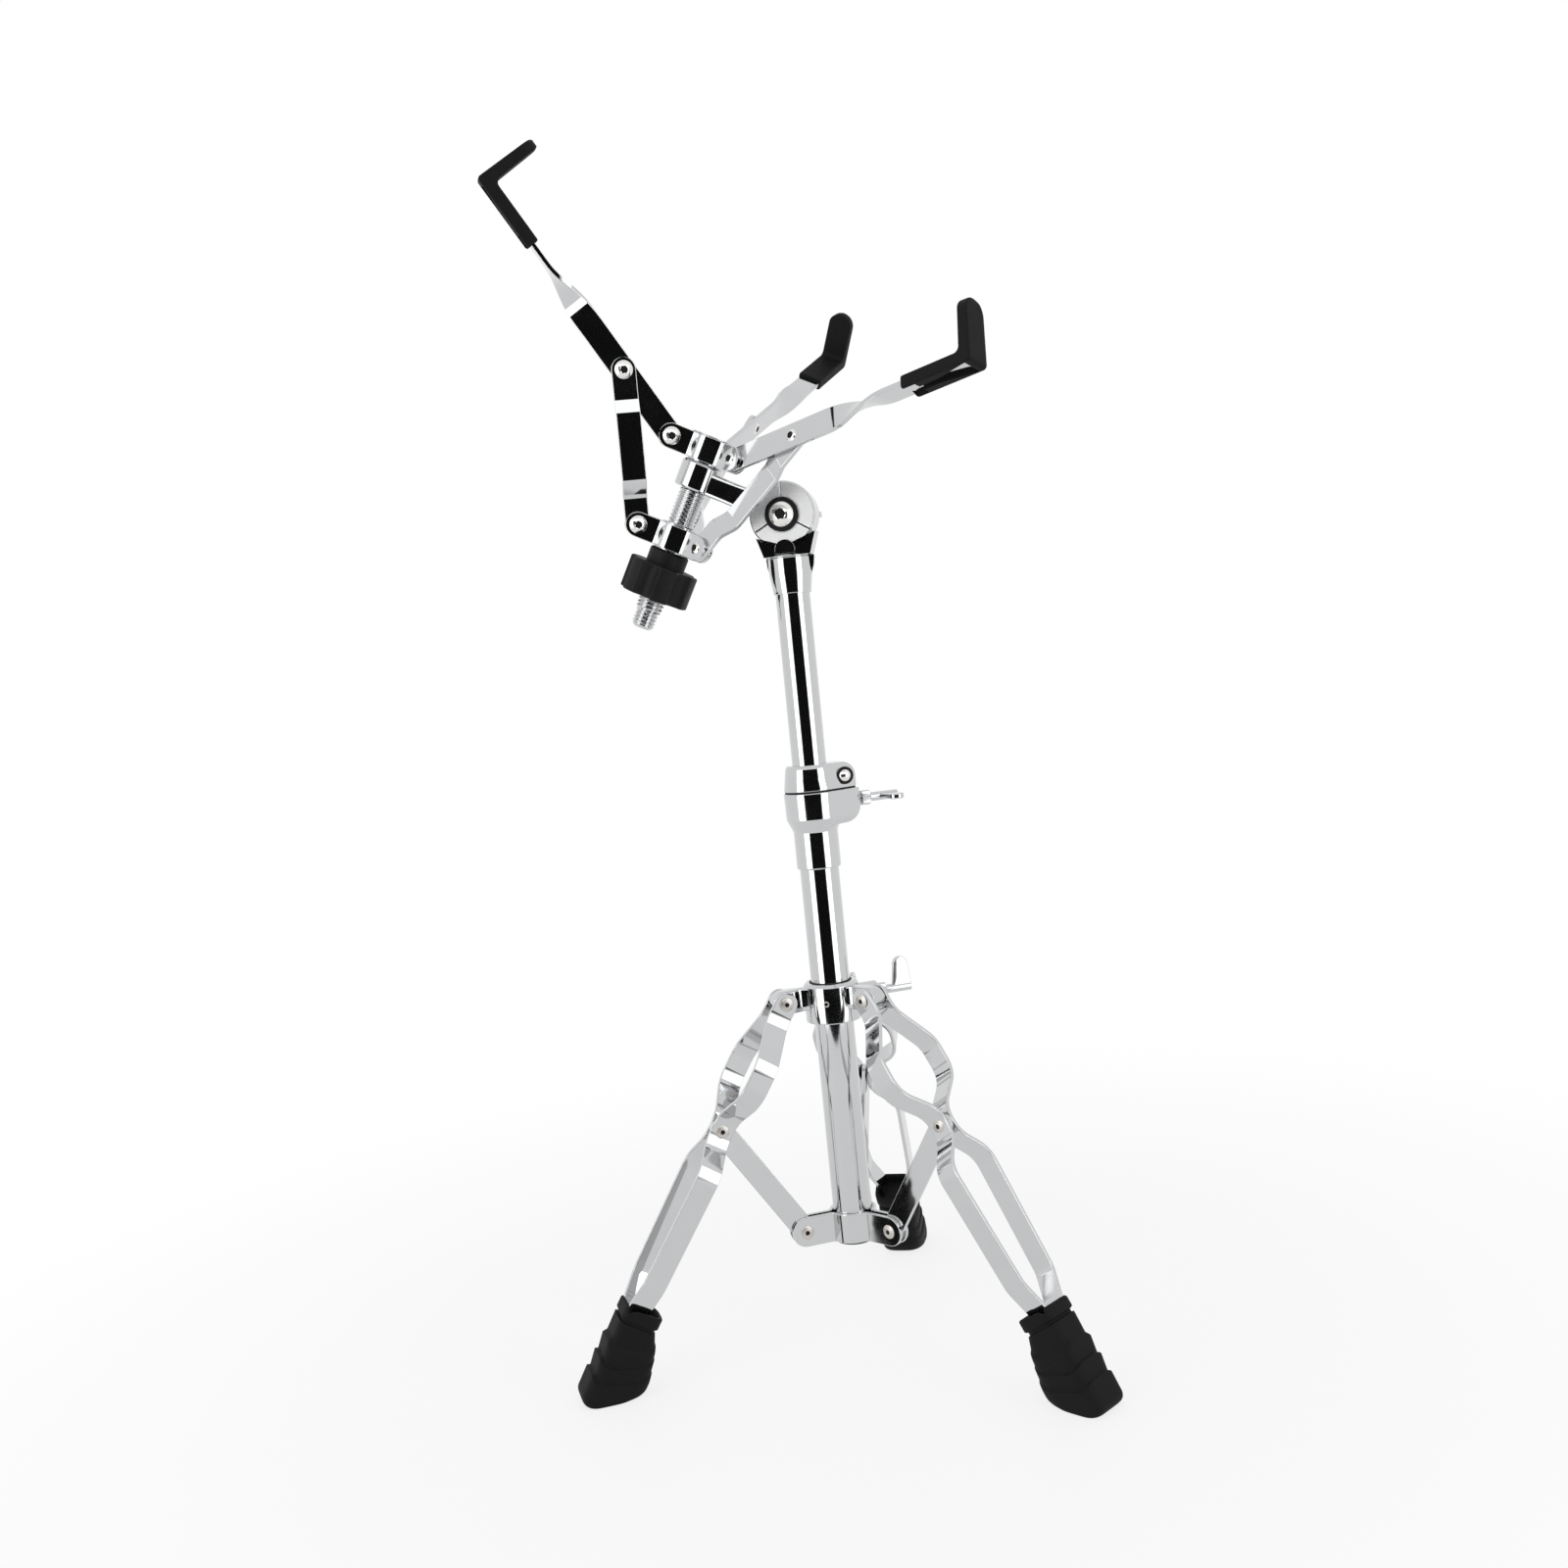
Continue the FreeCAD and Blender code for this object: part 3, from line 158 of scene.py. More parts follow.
class Wire:
    """A socket in a node tree. Sums and products with it add Math nodes."""

    def __init__(self, tree, socket=None):
        self.tree, self.socket = tree, socket

    def node(self, kind, settings=None, inputs=None, out=0):
        """Add a node: its settings first, then each input from a Wire or a plain value."""
        made = self.tree.nodes.new(kind)
        for key, value in (settings or {}).items():
            setattr(made, key, value)
        for key, value in (inputs or {}).items():
            if isinstance(value, Wire):
                self.tree.links.new(value.socket, made.inputs[key])
            else:
                made.inputs[key].default_value = value
        return Wire(self.tree, made.outputs[out])

    def math(self, operation, *terms):
        return self.node("ShaderNodeMath", {"operation": operation}, dict(enumerate(terms)))

    def __add__(self, other):
        return self.math("ADD", self, other)

    def __rsub__(self, other):
        return self.math("SUBTRACT", other, self)

    def __mul__(self, other):
        return self.math("MULTIPLY", self, other)

    __radd__, __rmul__ = __add__, __mul__

    def between(self, low, high):
        """A smooth climb from 0 at low to 1 at high."""
        return self.node("ShaderNodeMapRange", {"interpolation_type": "SMOOTHSTEP"},
                         {0: self, 1: low, 2: high})

    def tint(self, low, high):
        """A colour between two, mixed by this value."""
        return self.node("ShaderNodeMix", {"data_type": "RGBA"}, {0: self, 6: (*low, 1), 7: (*high, 1)}, 2)

    def speckle(self, size, detail=3.0, rough=0.55):
        """Cloudy noise on the piece's own coordinates, with patches of a size in millimetres."""
        where = self.node("ShaderNodeTexCoord", out="Object")
        return self.node("ShaderNodeTexNoise", {}, {"Vector": where, "Scale": 1 / (size * MM),
                                                    "Detail": detail, "Roughness": rough})

    def relief(self, strength, depth):
        """A bump from this value, with its depth in millimetres."""
        return self.node("ShaderNodeBump", {}, {"Strength": strength, "Distance": depth * MM,
                                                "Height": self})

    def ray(self, kind):
        """1 for rays of one kind, such as Camera or Glossy, and 0 for the others."""
        return self.node("ShaderNodeLightPath", out=f"Is {kind} Ray")

    def feed(self, shader, name):
        self.tree.links.new(self.socket, shader.inputs[name])

    def dress(self, colour, roughness, relief):
        """Feed the shader of a finish its colour, its roughness and its relief."""
        shader = self.tree.nodes["Principled BSDF"]
        for name, wire in (("Base Color", colour), ("Roughness", roughness), ("Normal", relief)):
            wire.feed(shader, name)


def new_finish(name, metallic, slot=None, **plain):
    """A finish with the values that are the same all over, and a Wire to start the others from."""
    finish = bpy.data.materials.new(name)
    slots[finish.name] = slot
    finish.use_nodes = True
    shader = finish.node_tree.nodes["Principled BSDF"]
    shader.inputs["Metallic"].default_value = metallic
    for key, value in plain.items():
        shader.inputs[key.replace("_", " ")].default_value = value
    return finish, Wire(finish.node_tree)


# Chrome: bright plating that is faintly clouded by handling, with a trace of waviness from polishing
chrome, start = new_finish("chrome_plate", 1.0, "chrome")
cloud, streak = start.speckle(22.0, 4.0), start.speckle(1.4, 2.0)
start.dress(cloud.tint((0.545, 0.553, 0.560), (0.590, 0.596, 0.600)),
            0.035 + 0.050 * cloud.between(0.42, 0.72) + 0.020 * streak,
            (start.speckle(14.0, 1.0) + 0.08 * streak).relief(0.10, 0.06))

tube_radius, tube_bore, tube_foot, tube_head = 12.7, 11.5, 71.0, 341.0
make("column_tube", [tube(tube_bore, tube_radius, tube_foot, tube_head, 0.4)], "column", chrome, "main_tube")


# End plug
# A black moulded plug pushed into the foot of the column tube to close it.
# Injection-moulded plastic with a rounded flange, held by friction.

black_plastic, start = new_finish("black_plastic", 0.0, "black_plastic", Specular_IOR_Level=0.15)
grain, patch = start.speckle(0.7, 2.0), start.speckle(11.0)
start.dress(patch.tint((0.006, 0.006, 0.007), (0.011, 0.011, 0.012)),
            0.40 + 0.16 * patch + 0.06 * grain, grain.relief(0.22, 0.05))

plug = eased([(0.5, 68.5), (12.7, 68.5), (12.7, 70.95), (11.4, 70.95), (11.4, 83.0), (0.5, 83.0)], 0.9)
make("foot_plug", [turned(plug)], "column", black_plastic, "tube_plug")


# Stamped brace collar
# Three plates of stamped steel that wrap the column tube and meet in pairs of ears for the braces.
# Blanked, bent and chrome plated, and pinched to the tube when the rivets are set.

plate_thickness = 2.5


def thirds(at):
    """A place and the same one a third and two thirds of a turn on."""
    return [at @ spun("z", 120 * index) for index in range(3)]


leg_places = thirds(spun("z", 180))


def lengths(line):
    """How far along a line each of its points lies."""
    return np.r_[0, np.cumsum(np.linalg.norm(np.diff(line, axis=0), axis=1))]


def sampled(line, run, spots):
    """A line read off at other spots along its run."""
    return np.stack([np.interp(spots, run, column) for column in line.T], -1)


def unit(way):
    """A direction, or each of a row of them, at a length of one."""
    return way / np.linalg.norm(way, axis=-1, keepdims=True)


def rectangle(half, thick, edge, steps):
    """How far across and how far through each point lies, round a rectangle with eased corners."""
    corner = np.repeat([0, 1, 2, 3], steps)
    swing = np.radians(np.tile(np.linspace(0, 90, steps), 4) + 90 * corner)
    across = np.array([1, -1, -1, 1])[corner] * (half - edge) + edge * np.cos(swing)
    through = np.array([1, 1, -1, -1])[corner] * (thick - edge) + edge * np.sin(swing)
    return across, through + 0 * half


def strap(line, side, width, thickness, at, edge=0.45, round_end=True):
    """A flat bar carried along a line: middle + a * side + b * (direction x side), where (a, b) goes
    round a rectangle with eased corners, and at a distance s inside a round end of radius R the half
    width is the root of R^2 - (R - s)^2."""
    line = np.asarray(line, float)
    along = lengths(line)
    radius, length = width / 2, along[-1]
    tips = radius * (1 - np.cos(np.linspace(0.12, np.pi / 2, 9)))
    spots = np.unique(np.round(np.r_[along, tips, length - tips], 5))
    spots = spots[np.r_[True, np.diff(spots) > 1e-3]]
    middle = sampled(line, along, spots)
    sides = unit(sampled(np.broadcast_to(np.asarray(side, float), line.shape), along, spots))
    normals = np.cross(unit(np.gradient(middle, spots, axis=0)), sides)
    inside = np.minimum(spots, (length - spots) if round_end else radius)
    half = np.sqrt(radius ** 2 - (radius - np.clip(inside, 0, radius)) ** 2)
    half = np.maximum(half, 1.3 * edge)[:, None]
    across, through = rectangle(half, thickness / 2, edge, 4)
    grid = middle[:, None] + across[..., None] * sides[:, None] + through[..., None] * normals[:, None]
    return skin(grid, at)


def upright(line, *size, **ends):
    """A strap that stands on edge along a line drawn in plan."""
    return strap(np.c_[line, 0 * line[:, 0]], (0, 0, 1), *size, **ends)


def ear_plate(core, reach, height, gap, at):
    """One plate of a hub: an ear in, a bend, a third of a turn round the core, a bend and an ear out,
    carried along its middle line and standing its height tall."""
    bend = core + plate_thickness / 2
    offset = gap / 2 + plate_thickness / 2
    slope, third = np.radians(30), np.radians(120)
    root = bend * np.cos(slope) - (offset - bend * np.sin(slope)) * np.tan(slope)
    crown = bend / np.cos(slope)
    mirror = np.array([[np.cos(third), np.sin(third)], [np.sin(third), -np.cos(third)]])
    ear = np.array([(reach + height / 2, offset), (root, offset)])
    corners = np.vstack([ear, polar(crown, 2 * slope), ear[::-1] @ mirror.T])
    line = eased(corners, np.array([3.0, bend, 3.0]), steps=13)
    return upright(line, height, plate_thickness, at)


pivot_reach, brace_level, ear_gap = 33.5, 80.0, 3.4
brace_hubs = thirds(moved(z=brace_level) @ leg_places[0])
make("brace_collar", [ear_plate(12.75, pivot_reach, 19.0, ear_gap, hub) for hub in brace_hubs],
     "column", chrome, "brace_collar_plates")


# Braces
# Three flat bars from the stamped collar to the middle of each leg, which hold the tripod open.
# Steel strip with round ends, drilled for the rivets and chrome plated.

leg_slope, pivot_span, bar_width = 57, 90.5, 15.0
brace_line = np.array([(-7.5, 0.0), (20.0, 0.0), (45.25, 0.0), (70.0, 0.0), (98.0, 0.0)])
for index, place in enumerate(leg_places, start=1):
    at = place @ moved(pivot_reach, 0, brace_level) @ spun("y", -leg_slope)
    make(f"brace_bar_{index}", [upright(brace_line, bar_width, 3.0, at)], f"brace_{index}",
         chrome, f"brace_{index}")


# Brace rivets
# Set through the collar's ears and the braces, with a low domed head and a hole at both ends.
# Nickel-plated steel, duller and a little warmer than the chrome round them; a black pin in each paints the
# shade in its holes.

def bare_metal(name, low, high, rough, climb, patch, grain, strength):
    """A metal whose colour, from low to high, and roughness climb with cloudy patches, over a fine grain."""
    finish, start = new_finish(name, 1.0, "bright_steel")
    cloud = start.speckle(patch)
    start.dress(cloud.tint(low, high), rough + climb * cloud,
                start.speckle(grain, 2.0).relief(strength, 0.03))
    return finish


nickel = bare_metal("nickel_plate", (0.50, 0.475, 0.445), (0.64, 0.620, 0.590),
                    rough=0.34, climb=0.16, patch=2.6, grain=0.5, strength=0.10)
# Polished nickel: the same plating on turned heads, buffed bright
bright_nickel = bare_metal("bright_nickel", (0.72, 0.705, 0.680), (0.84, 0.830, 0.810),
                           rough=0.10, climb=0.12, patch=2.6, grain=0.5, strength=0.08)


def dome(radius, crown, inner=0.02, steps=9):
    """Half an arch: at a radius r the height is the root of S^2 - r^2, less S - crown, where S is the
    sphere's radius, half of radius^2 over crown plus crown."""
    sphere = (radius ** 2 / crown + crown) / 2
    r = np.linspace(radius, inner, steps)
    return np.stack([r, np.sqrt(sphere ** 2 - r ** 2) - (sphere - crown)], -1)


def well(lip, depth):
    """The wall and floor of a hole that starts at a lip, as rows of (radius, height)."""
    radius, level = lip
    return [(radius - 0.05, level - 0.15), (radius - 0.1, level - 0.75 * depth), (0.02, level - depth)]


def rivet(at, grip, head, crown, tail, tail_crown, socket=0.0, bore=0.0, six_sided=True):
    """A lathe shape along Y: tail dome, shank, and a head with a low rim under its dome; a socket is a
    hole let into the head, six-sided or round, and a bore a round hole in the tail."""
    shank, rim, bore_depth = 2.4, 0.4, tail_crown + 1.8
    foot = dome(tail / 2, tail_crown, max(bore / 2, 0.02)) + (0, grip / 2)
    foot = np.vstack([foot] + ([well(foot[-1], bore_depth)] if bore else []))[::-1] * (1, -1)
    top = dome(head / 2 - rim * 0.4, crown - rim, max(socket / 2, 0.02)) + (0, grip / 2 + rim)
    collar = [(shank, -grip / 2), (shank, grip / 2), (head / 2, grip / 2),
              (head / 2, grip / 2 + rim * 0.6)]
    rows = np.vstack([foot, collar, top] + ([well(top[-1], crown)] if socket else []))
    return turned(rows, at @ spun("x", -90), around=48, hexed=3 if socket and six_sided else 0)


def core(at, tail, head, radius):
    """A plain black pin inside a rivet: painted shade on the floor of its socket and of its bore."""
    rows = [(0.02, -tail), (radius, -tail), (radius, head), (0.02, head)]
    return turned(rows, at @ spun("x", -90), around=32)


def fasten(name, shade_plug_name, kind, grip, holes, body, node):
    """Rivets of one kind through like holes, and black pins inside them, painted shade at both ends of the
    holes.
    A kind is a finish, how far the pin runs past the grip at tail and head, its radius, and the rivet's
    sizes."""
    finish, past_tail, past_head, radius, sizes = kind
    make(name, [rivet(hole, grip, **sizes) for hole in holes], body, finish, node)
    # Black pins inside the rivets: painted shade on the floors of their sockets and bores.
    make(shade_plug_name, [core(hole, grip / 2 + past_tail, grip / 2 + past_head, radius) for hole in holes],
         body, black_plastic)


low_rivet = nickel, 0.6, 0.6, 1.35, {"head": 9.0, "crown": 1.15, "tail": 9.0, "tail_crown": 1.15,
                                     "socket": 3.0, "bore": 3.0, "six_sided": False}
ear_grip = 8.4
fasten("brace_rivet_set", "brace_rivet_shade_plugs", low_rivet, ear_grip,
       [hub @ moved(pivot_reach) for hub in brace_hubs], "column", "brace_rivets")


# Leg collar
# The sliding collar that carries the legs: a ring with three riveted lugs, a boss and a grub screw.
# Die-cast zinc, tumbled and chrome plated; a thin black ring at the top paints the shade where it meets the
# tube.

collar_level = brace_level + 2 * pivot_span * np.cos(np.radians(90 - leg_slope))
collar_place = moved(z=collar_level)


def slab(outline, depth, at, edge=0.9, rim=0.0, sink=0.0, bore=0.0, steps=5):
    """An outline given depth: the loop is drawn in by edge * (1 - sin f) while it climbs
    edge * (1 - cos f), so both rims are round; a rim leaves a sunk field inside it, and a bore a hole."""
    outline = np.asarray(outline, float)
    run = np.roll(outline, -1, 0) - np.roll(outline, 1, 0)
    out = unit(np.stack([run[:, 1], -run[:, 0]], -1))
    f = np.linspace(0, np.pi / 2, steps)
    inset, climb = edge * (1 - np.sin(f)), edge * (1 - np.cos(f))
    if rim:
        inset = np.r_[rim + sink, rim + 0.7 * sink, rim, inset]
        climb = np.r_[sink, 0.8 * sink, 0.0, climb]
    insets = np.r_[inset, inset[::-1]][:, None, None]
    heights = np.r_[climb - depth / 2, depth / 2 - climb[::-1]]
    loops = outline - insets * out
    if bore:
        loops[[0, -1]] = outline * (bore / np.linalg.norm(outline, axis=1))[:, None]
    return skin(np.dstack([loops, heights[:, None] + 0 * loops[..., 0]]), at, ring=bore > 0)


def boxy(u, power):
    """The cosine and the sine of each angle raised to a power below one, their signs kept, which squares
    a circle off to a box with round corners."""
    return [np.sign(wave) * np.abs(wave) ** power for wave in (np.cos(u), np.sin(u))]


def lug(at, tall=7.6, around=64):
    """Loops from the ring to a round nose: a square with round corners, its half height even up to the
    half circle of the nose, and its half width drawn in by half a sine wave, so each flank is hollow."""
    nose = pivot_reach + tall * np.sin(np.linspace(0, 1.54, 13))
    x = np.r_[np.linspace(13.5, 32.5, 27), nose][:, None]
    high = np.sqrt(np.maximum(tall ** 2 - np.maximum(x - pivot_reach, 0) ** 2, 0))
    wide = 5.6 - 2.3 * np.sin(np.pi * np.clip((x - 16.5) / 10.0, 0, 1))
    u = circle(around)
    c, s = boxy(u, 0.3)
    return skin(np.stack([x + 0 * u, wide * c, high * s], -1), at)


ring = [(12.85, -16.0), (17.95, -16.0), (17.95, 7.6), (16.1, 9.5), (12.85, 9.5)]
boss = eased([(0.5, 13.2), (7.0, 13.2), (7.0, 31.0), (3.2, 31.0), (3.2, 29.5), (0.5, 29.5)], 0.9)
boss_place = collar_place @ moved(z=-2.0)
collar_shells = [hoop(ring, 0.7, collar_place), turned(boss, boss_place @ spun("y", 90), around=64)]
collar_shells += [lug(collar_place @ place) for place in leg_places]
make("leg_collar_casting", collar_shells, "leg_collar", chrome, "leg_collar")
# A thin black ring at the collar's top: painted shade in the gap against the tube.
make("leg_collar_shade_ring", [tube(12.8, 13.9, 8.6, 9.9, 0.25, collar_place, steps=3)], "leg_collar",
     black_plastic, slot="nylon")
grub = eased([(0.02, 15.0), (1.9, 15.0), (1.9, 18.2), (1.2, 18.2), (1.0, 16.4), (0.02, 16.4)], 0.25)
grub_place = collar_place @ moved(z=-2.5) @ spun("z", -120) @ spun("y", 90)
make("leg_collar_grub_screw", [turned(grub, grub_place, 32)], "leg_collar", nickel)
fasten("leg_rivet_set", "leg_rivet_shade_plugs", low_rivet, 18.4,
       [collar_place @ place @ moved(pivot_reach) for place in leg_places], "leg_collar", "leg_rivets")


# Wing screws
# One locks the leg collar and one the height clamp: a threaded pin, a knurled hub and a flat wing.
# Cast steel, chrome plated, the wing with plain faces and round edges.

def wing_screw(tip, face, at, length=24.2):
    """Pin and hub are lathe shapes along X, the pin ridged like a thread and the hub's radius rippled by
    a 24-fold cosine; the wing is a slab whose outline narrows upwards to a half circle."""
    hub, end = face + 0.2, face + length
    turns = np.arange(tip + 0.6, hub, 0.4)
    ridges = np.stack([2.65 + 0.25 * (-1) ** np.arange(len(turns)), turns], -1)
    pin = np.vstack([[(0.3, tip), (2.2, tip)], ridges,
                     [(2.9, hub + 1.0), (2.9, end - 0.4), (0.3, end - 0.4)]])
    u = circle(192)
    knurl = polar(4.55 + 0.22 * np.cos(24 * u), u)
    swing = np.linspace(0, np.pi, 21)
    round_top, tall = 5.0, 20.5
    middle, high = end - 6.5, tall - round_top
    crest = polar(round_top, swing) + (middle, high)
    root = np.array([(end - 13.0, 1.5), (end - 12.0, -1.2), (end - 7.0, -2.0), (end - 1.0, -1.2),
                     (end, 1.5)])
    outline = eased(np.vstack([crest, root]), 2.0, closed=True, steps=3)
    along = at @ spun("y", 90)
    return [turned(pin, along, around=40), slab(knurl, 6.0, along @ moved(z=hub + 3.0), 0.5),
            slab(outline, 3.6, at @ spun("x", 90), 0.9)]


make("leg_screw_casting", wing_screw(13.0, 31.0, boss_place), "leg_screw", chrome, "leg_wing_screw")


# Leg straps
# Each leg is two strips that bow apart, meet at the brace and run down to the foot.
# Steel strip bent in a press, with a round upper end, chrome plated and riveted through the brace.

leg_lines = [place @ moved(pivot_reach, 0, collar_level) @ spun("y", leg_slope) for place in leg_places]
bow = np.array([(-7.5, 7.95), (13.0, 6.95), (39.82, 27.0), (63.35, 27.0), (82.0, 2.95), (99.0, 2.95),
                (116.0, 19.0), (194.0, 15.26), (212.5, 8.0), (219.0, 8.0)])
bend_radius = 18.0


def coat(name, finish):
    """Give its finish to a CAD piece that is shown as it is."""
    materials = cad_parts[name].data.materials
    materials.clear()
    materials.append(finish)


for index, place in enumerate(leg_lines, start=1):
    leg = f"leg_{index}"
    for side, hand in ((1, "left"), (-1, "right")):
        line = eased(bow * (1, side), bend_radius, steps=13)
        bent = upright(line, bar_width, 2.5, place, 0.5, round_end=False)
        make(f"{leg}_strip_{hand}", [bent], leg, chrome, f"{leg}_strap_{hand}")
    fasten(f"{leg}_middle_rivet", f"{leg}_rivet_shade_plug", low_rivet, ear_grip, [place @ moved(pivot_span)],
           leg, f"{leg}_rivet")
    coat(f"{leg}_foot_pin", nickel)


# Rubber feet
# Moulded over the ends of the straps: a plain ring, a groove, then a body stepped like roof tiles on
# its outer side and flat where it stands. Black rubber, matt, with a fine grain.

black_rubber, start = new_finish("black_rubber", 0.0, "black_rubber", Specular_IOR_Level=0.11)
bloom, pore = start.speckle(7.0, 4.0), start.speckle(0.45, 2.0)
start.dress(bloom.tint((0.005, 0.005, 0.005), (0.010, 0.010, 0.010)),
            0.50 + 0.22 * bloom + 0.06 * pore, (pore + 0.6 * start.speckle(2.2)).relief(0.25, 0.06))


def foot(at, around=144):
    """Loops between an outer and an inner side line: middle + c * half depth + s * half width, with c and
    s of a box with round corners. Each roof tile sinks evenly from its upper edge, then springs back;
    the sink is deepest on the outer side and lags along the flanks. The ring's mouth is lower beside
    the straps."""
    # The ring row by row: along, outer side, inner side, half width
    rim = np.array([(217.0, 5.4, -14.2, 10.4), (212.3, 6.2, -15.0, 11.2), (211.5, 7.0, -15.8, 12.0),
                    (211.6, 8.3, -17.1, 13.3), (212.4, 9.0, -17.8, 14.0), (218.6, 9.0, -17.8, 14.0),
                    (219.5, 8.2, -17.0, 13.2), (219.7, 7.2, -16.1, 12.3), (221.6, 7.2, -16.1, 12.3),
                    (221.8, 9.0, -16.8, 12.9)])
    rows = len(rim)
    v = np.linspace(0, 1, 181)
    back = eased([(222.0, 10.1), (282.38, 9.35), (271.98, -6.76)], 7.0, steps=25)
    belly = eased([(222.0, -18.0), (233.0, -23.6), (250.0, -28.2), (257.88, -28.4), (266.58, -15.1)],
                  np.array([18.0, 20.0, 8.5]), steps=25)
    outer, inner = (np.vstack([rim[:, [0, side]], sampled(line, lengths(line), v * lengths(line)[-1])])
                    for side, line in ((1, back), (2, belly)))
    toe = np.clip((v - 0.80) / 0.20, 0, 1)
    body_width = 13.5 + 1.95 * np.minimum(1.0, 1.7 * v) ** 0.7 - 3.2 * (1 - np.sqrt(1 - toe ** 2))
    widths = np.r_[rim[:, 3], body_width]
    u = circle(around)
    c, s = boxy(u, np.where(np.cos(u) > 0, 0.36, 0.60))
    lag = 0.045 * (1 - np.cos(2 * u)) - 0.03 * (1 - np.cos(u))
    edges = np.array([-0.4, 0.20, 0.36, 0.52, 1.25])
    tile = np.clip(v[:, None] - lag, -0.39, 1.24)
    before = np.searchsorted(edges, tile, side="right") - 1
    tile = (tile - edges[before]) / (edges[before + 1] - edges[before])
    facing = np.clip(0.5 + 0.5 * np.cos(u), 0, 1)
    relief = np.zeros((rows + len(v), around))
    relief[rows:] = -(0.6 + 1.3 * facing ** 1.5) * np.minimum(tile, 14 * (1 - tile))
    sole = np.clip((v - 0.965) / 0.035, 0, 1)
    relief[rows:] -= (1.2 * (1 - np.sqrt(1 - sole ** 2)))[:, None]
    middle, half = (outer + inner) / 2, (outer - inner) / 2
    reach = np.linalg.norm(half, axis=1)[:, None]
    deep = c * (reach + relief) / reach
    wide = -s * (widths[:, None] + relief)
    notch = 3.2 * np.exp(-((np.abs(np.sin(u)) - 0.80) / 0.16) ** 2) * (np.cos(u) > 0)
    mouth = np.zeros(rows + len(v))
    mouth[1:5] = 1.0, 1.0, 1.0, 0.8
    along = middle[:, :1] + half[:, :1] * deep + mouth[:, None] * notch
    return skin(np.stack([along, wide, middle[:, 1:] + half[:, 1:] * deep], -1), at)


for index, place in enumerate(leg_lines, start=1):
    make(f"rubber_foot_{index}", [foot(place)], f"leg_{index}", black_rubber, f"foot_{index}", sharp=50)


# Height clamp
# The casting on the head of the column tube that grips the upper tube: a skirt, a cone and a boss.
# Die-cast zinc, chrome plated, with a nylon bush inside that the wing screw presses.

screw_level = 357.4


def lugged(profile, reach, half, corner, at, slit=0.0):
    """Loops round a ring and its lug. Each is the outline of the ring's circle and of two small circles
    in the lug's corners, with straight cheeks that touch both: middle + radius * (cos n, sin n), where
    n is the way that the outline faces. A slit runs in from the lug's end."""
    radius, level = profile.T[:, :, None]
    reach = reach[:, None]
    plain = reach < radius
    x, y = (np.where(plain, 0.0, side - corner) for side in (reach, half))
    small = np.where(plain, radius, corner)
    lean = np.arctan2(y, x) + np.arccos(np.clip((radius - small) / np.maximum(np.hypot(x, y), 1e-6), -1, 1))
    lean, apart = np.where(plain, 1.2, lean), np.where(plain, 0.06, 0.0)
    share = np.linspace(0, 1, 9)
    low, high = -lean + (lean - apart) * share, apart + (lean - apart) * share
    back = lean + apart + (2 * np.pi - 2 * lean - 2 * apart) * np.linspace(0, 1, 81)
    nick = np.array([-1, -0.4, 0.4, 1]) * slit / 2
    groove_x = np.where(plain, radius * np.cos(nick / 30), np.where(np.abs(nick) < 0.4 * slit, 12.4, reach))
    groove_y = np.where(plain, radius * np.sin(nick / 30), np.sign(nick) * slit / 2)
    middle = np.stack([x, y], -1)
    columns = [polar(small, low) + middle * (1, -1), np.stack([groove_x, groove_y], -1),
               polar(small, high) + middle, polar(radius, back)]
    if not slit:
        del columns[1]
    loops = np.concatenate(columns, 1)
    return skin(np.dstack([loops, level + 0 * loops[..., 0]]), at, ring=True)


def with_levels(line, levels):
    """A profile with extra rows where it passes each level."""
    run = lengths(line)
    climb = line[:, 1] + 1e-7 * run
    spots = np.unique(np.round(np.r_[run, np.interp(levels, climb, run)], 4))
    return sampled(line, run, spots)


skirt = eased([(12.75, 316.0), (13.9, 316.0), (14.4, 316.8), (14.4, 340.0), (18.1, 348.0), (18.5, 365.4),
               (12.75, 365.4)], np.array([0.4, 0.4, 2.5, 5.0, 0.7]), steps=7)
lug_foot, lug_round, lug_end, cheek, cheek_round = 343.4, 10.8, 30.0, 8.45, 2.6
swing = np.linspace(0, np.pi / 2, 15)
skirt = with_levels(skirt, np.r_[lug_foot - 0.03, lug_foot + lug_round * (1 - np.cos(swing)), 359.0])
drop = np.clip(lug_foot + lug_round - skirt[:, 1], 0, lug_round)
lug_reach = lug_end - lug_round + np.sqrt(lug_round ** 2 - drop ** 2)
lug_reach -= np.where(skirt[:, 1] > 364, 18.5 - skirt[:, 0], 0.0)
lug_reach[(skirt[:, 1] < lug_foot - 0.01) | (skirt[:, 0] < 13.0)] = 0.0
make("height_clamp", [lugged(skirt, lug_reach, cheek, cheek_round, np.eye(4))], "column",
     chrome, "tube_clamp")
make("clamp_screw_casting", wing_screw(11.4, 32.4, moved(z=screw_level) @ spun("x", 90), 25.8),
     "clamp_screw", chrome, "clamp_wing_screw")

white_nylon, start = new_finish("white_nylon", 0.0, IOR=1.50)
milk = start.speckle(6.0)
start.dress(milk.tint((0.62, 0.61, 0.57), (0.74, 0.73, 0.69)), 0.38 + 0.14 * milk,
            start.speckle(0.8).relief(0.15, 0.04))
coat("clamp_bush", white_nylon)
coat("glide_ring", white_nylon)
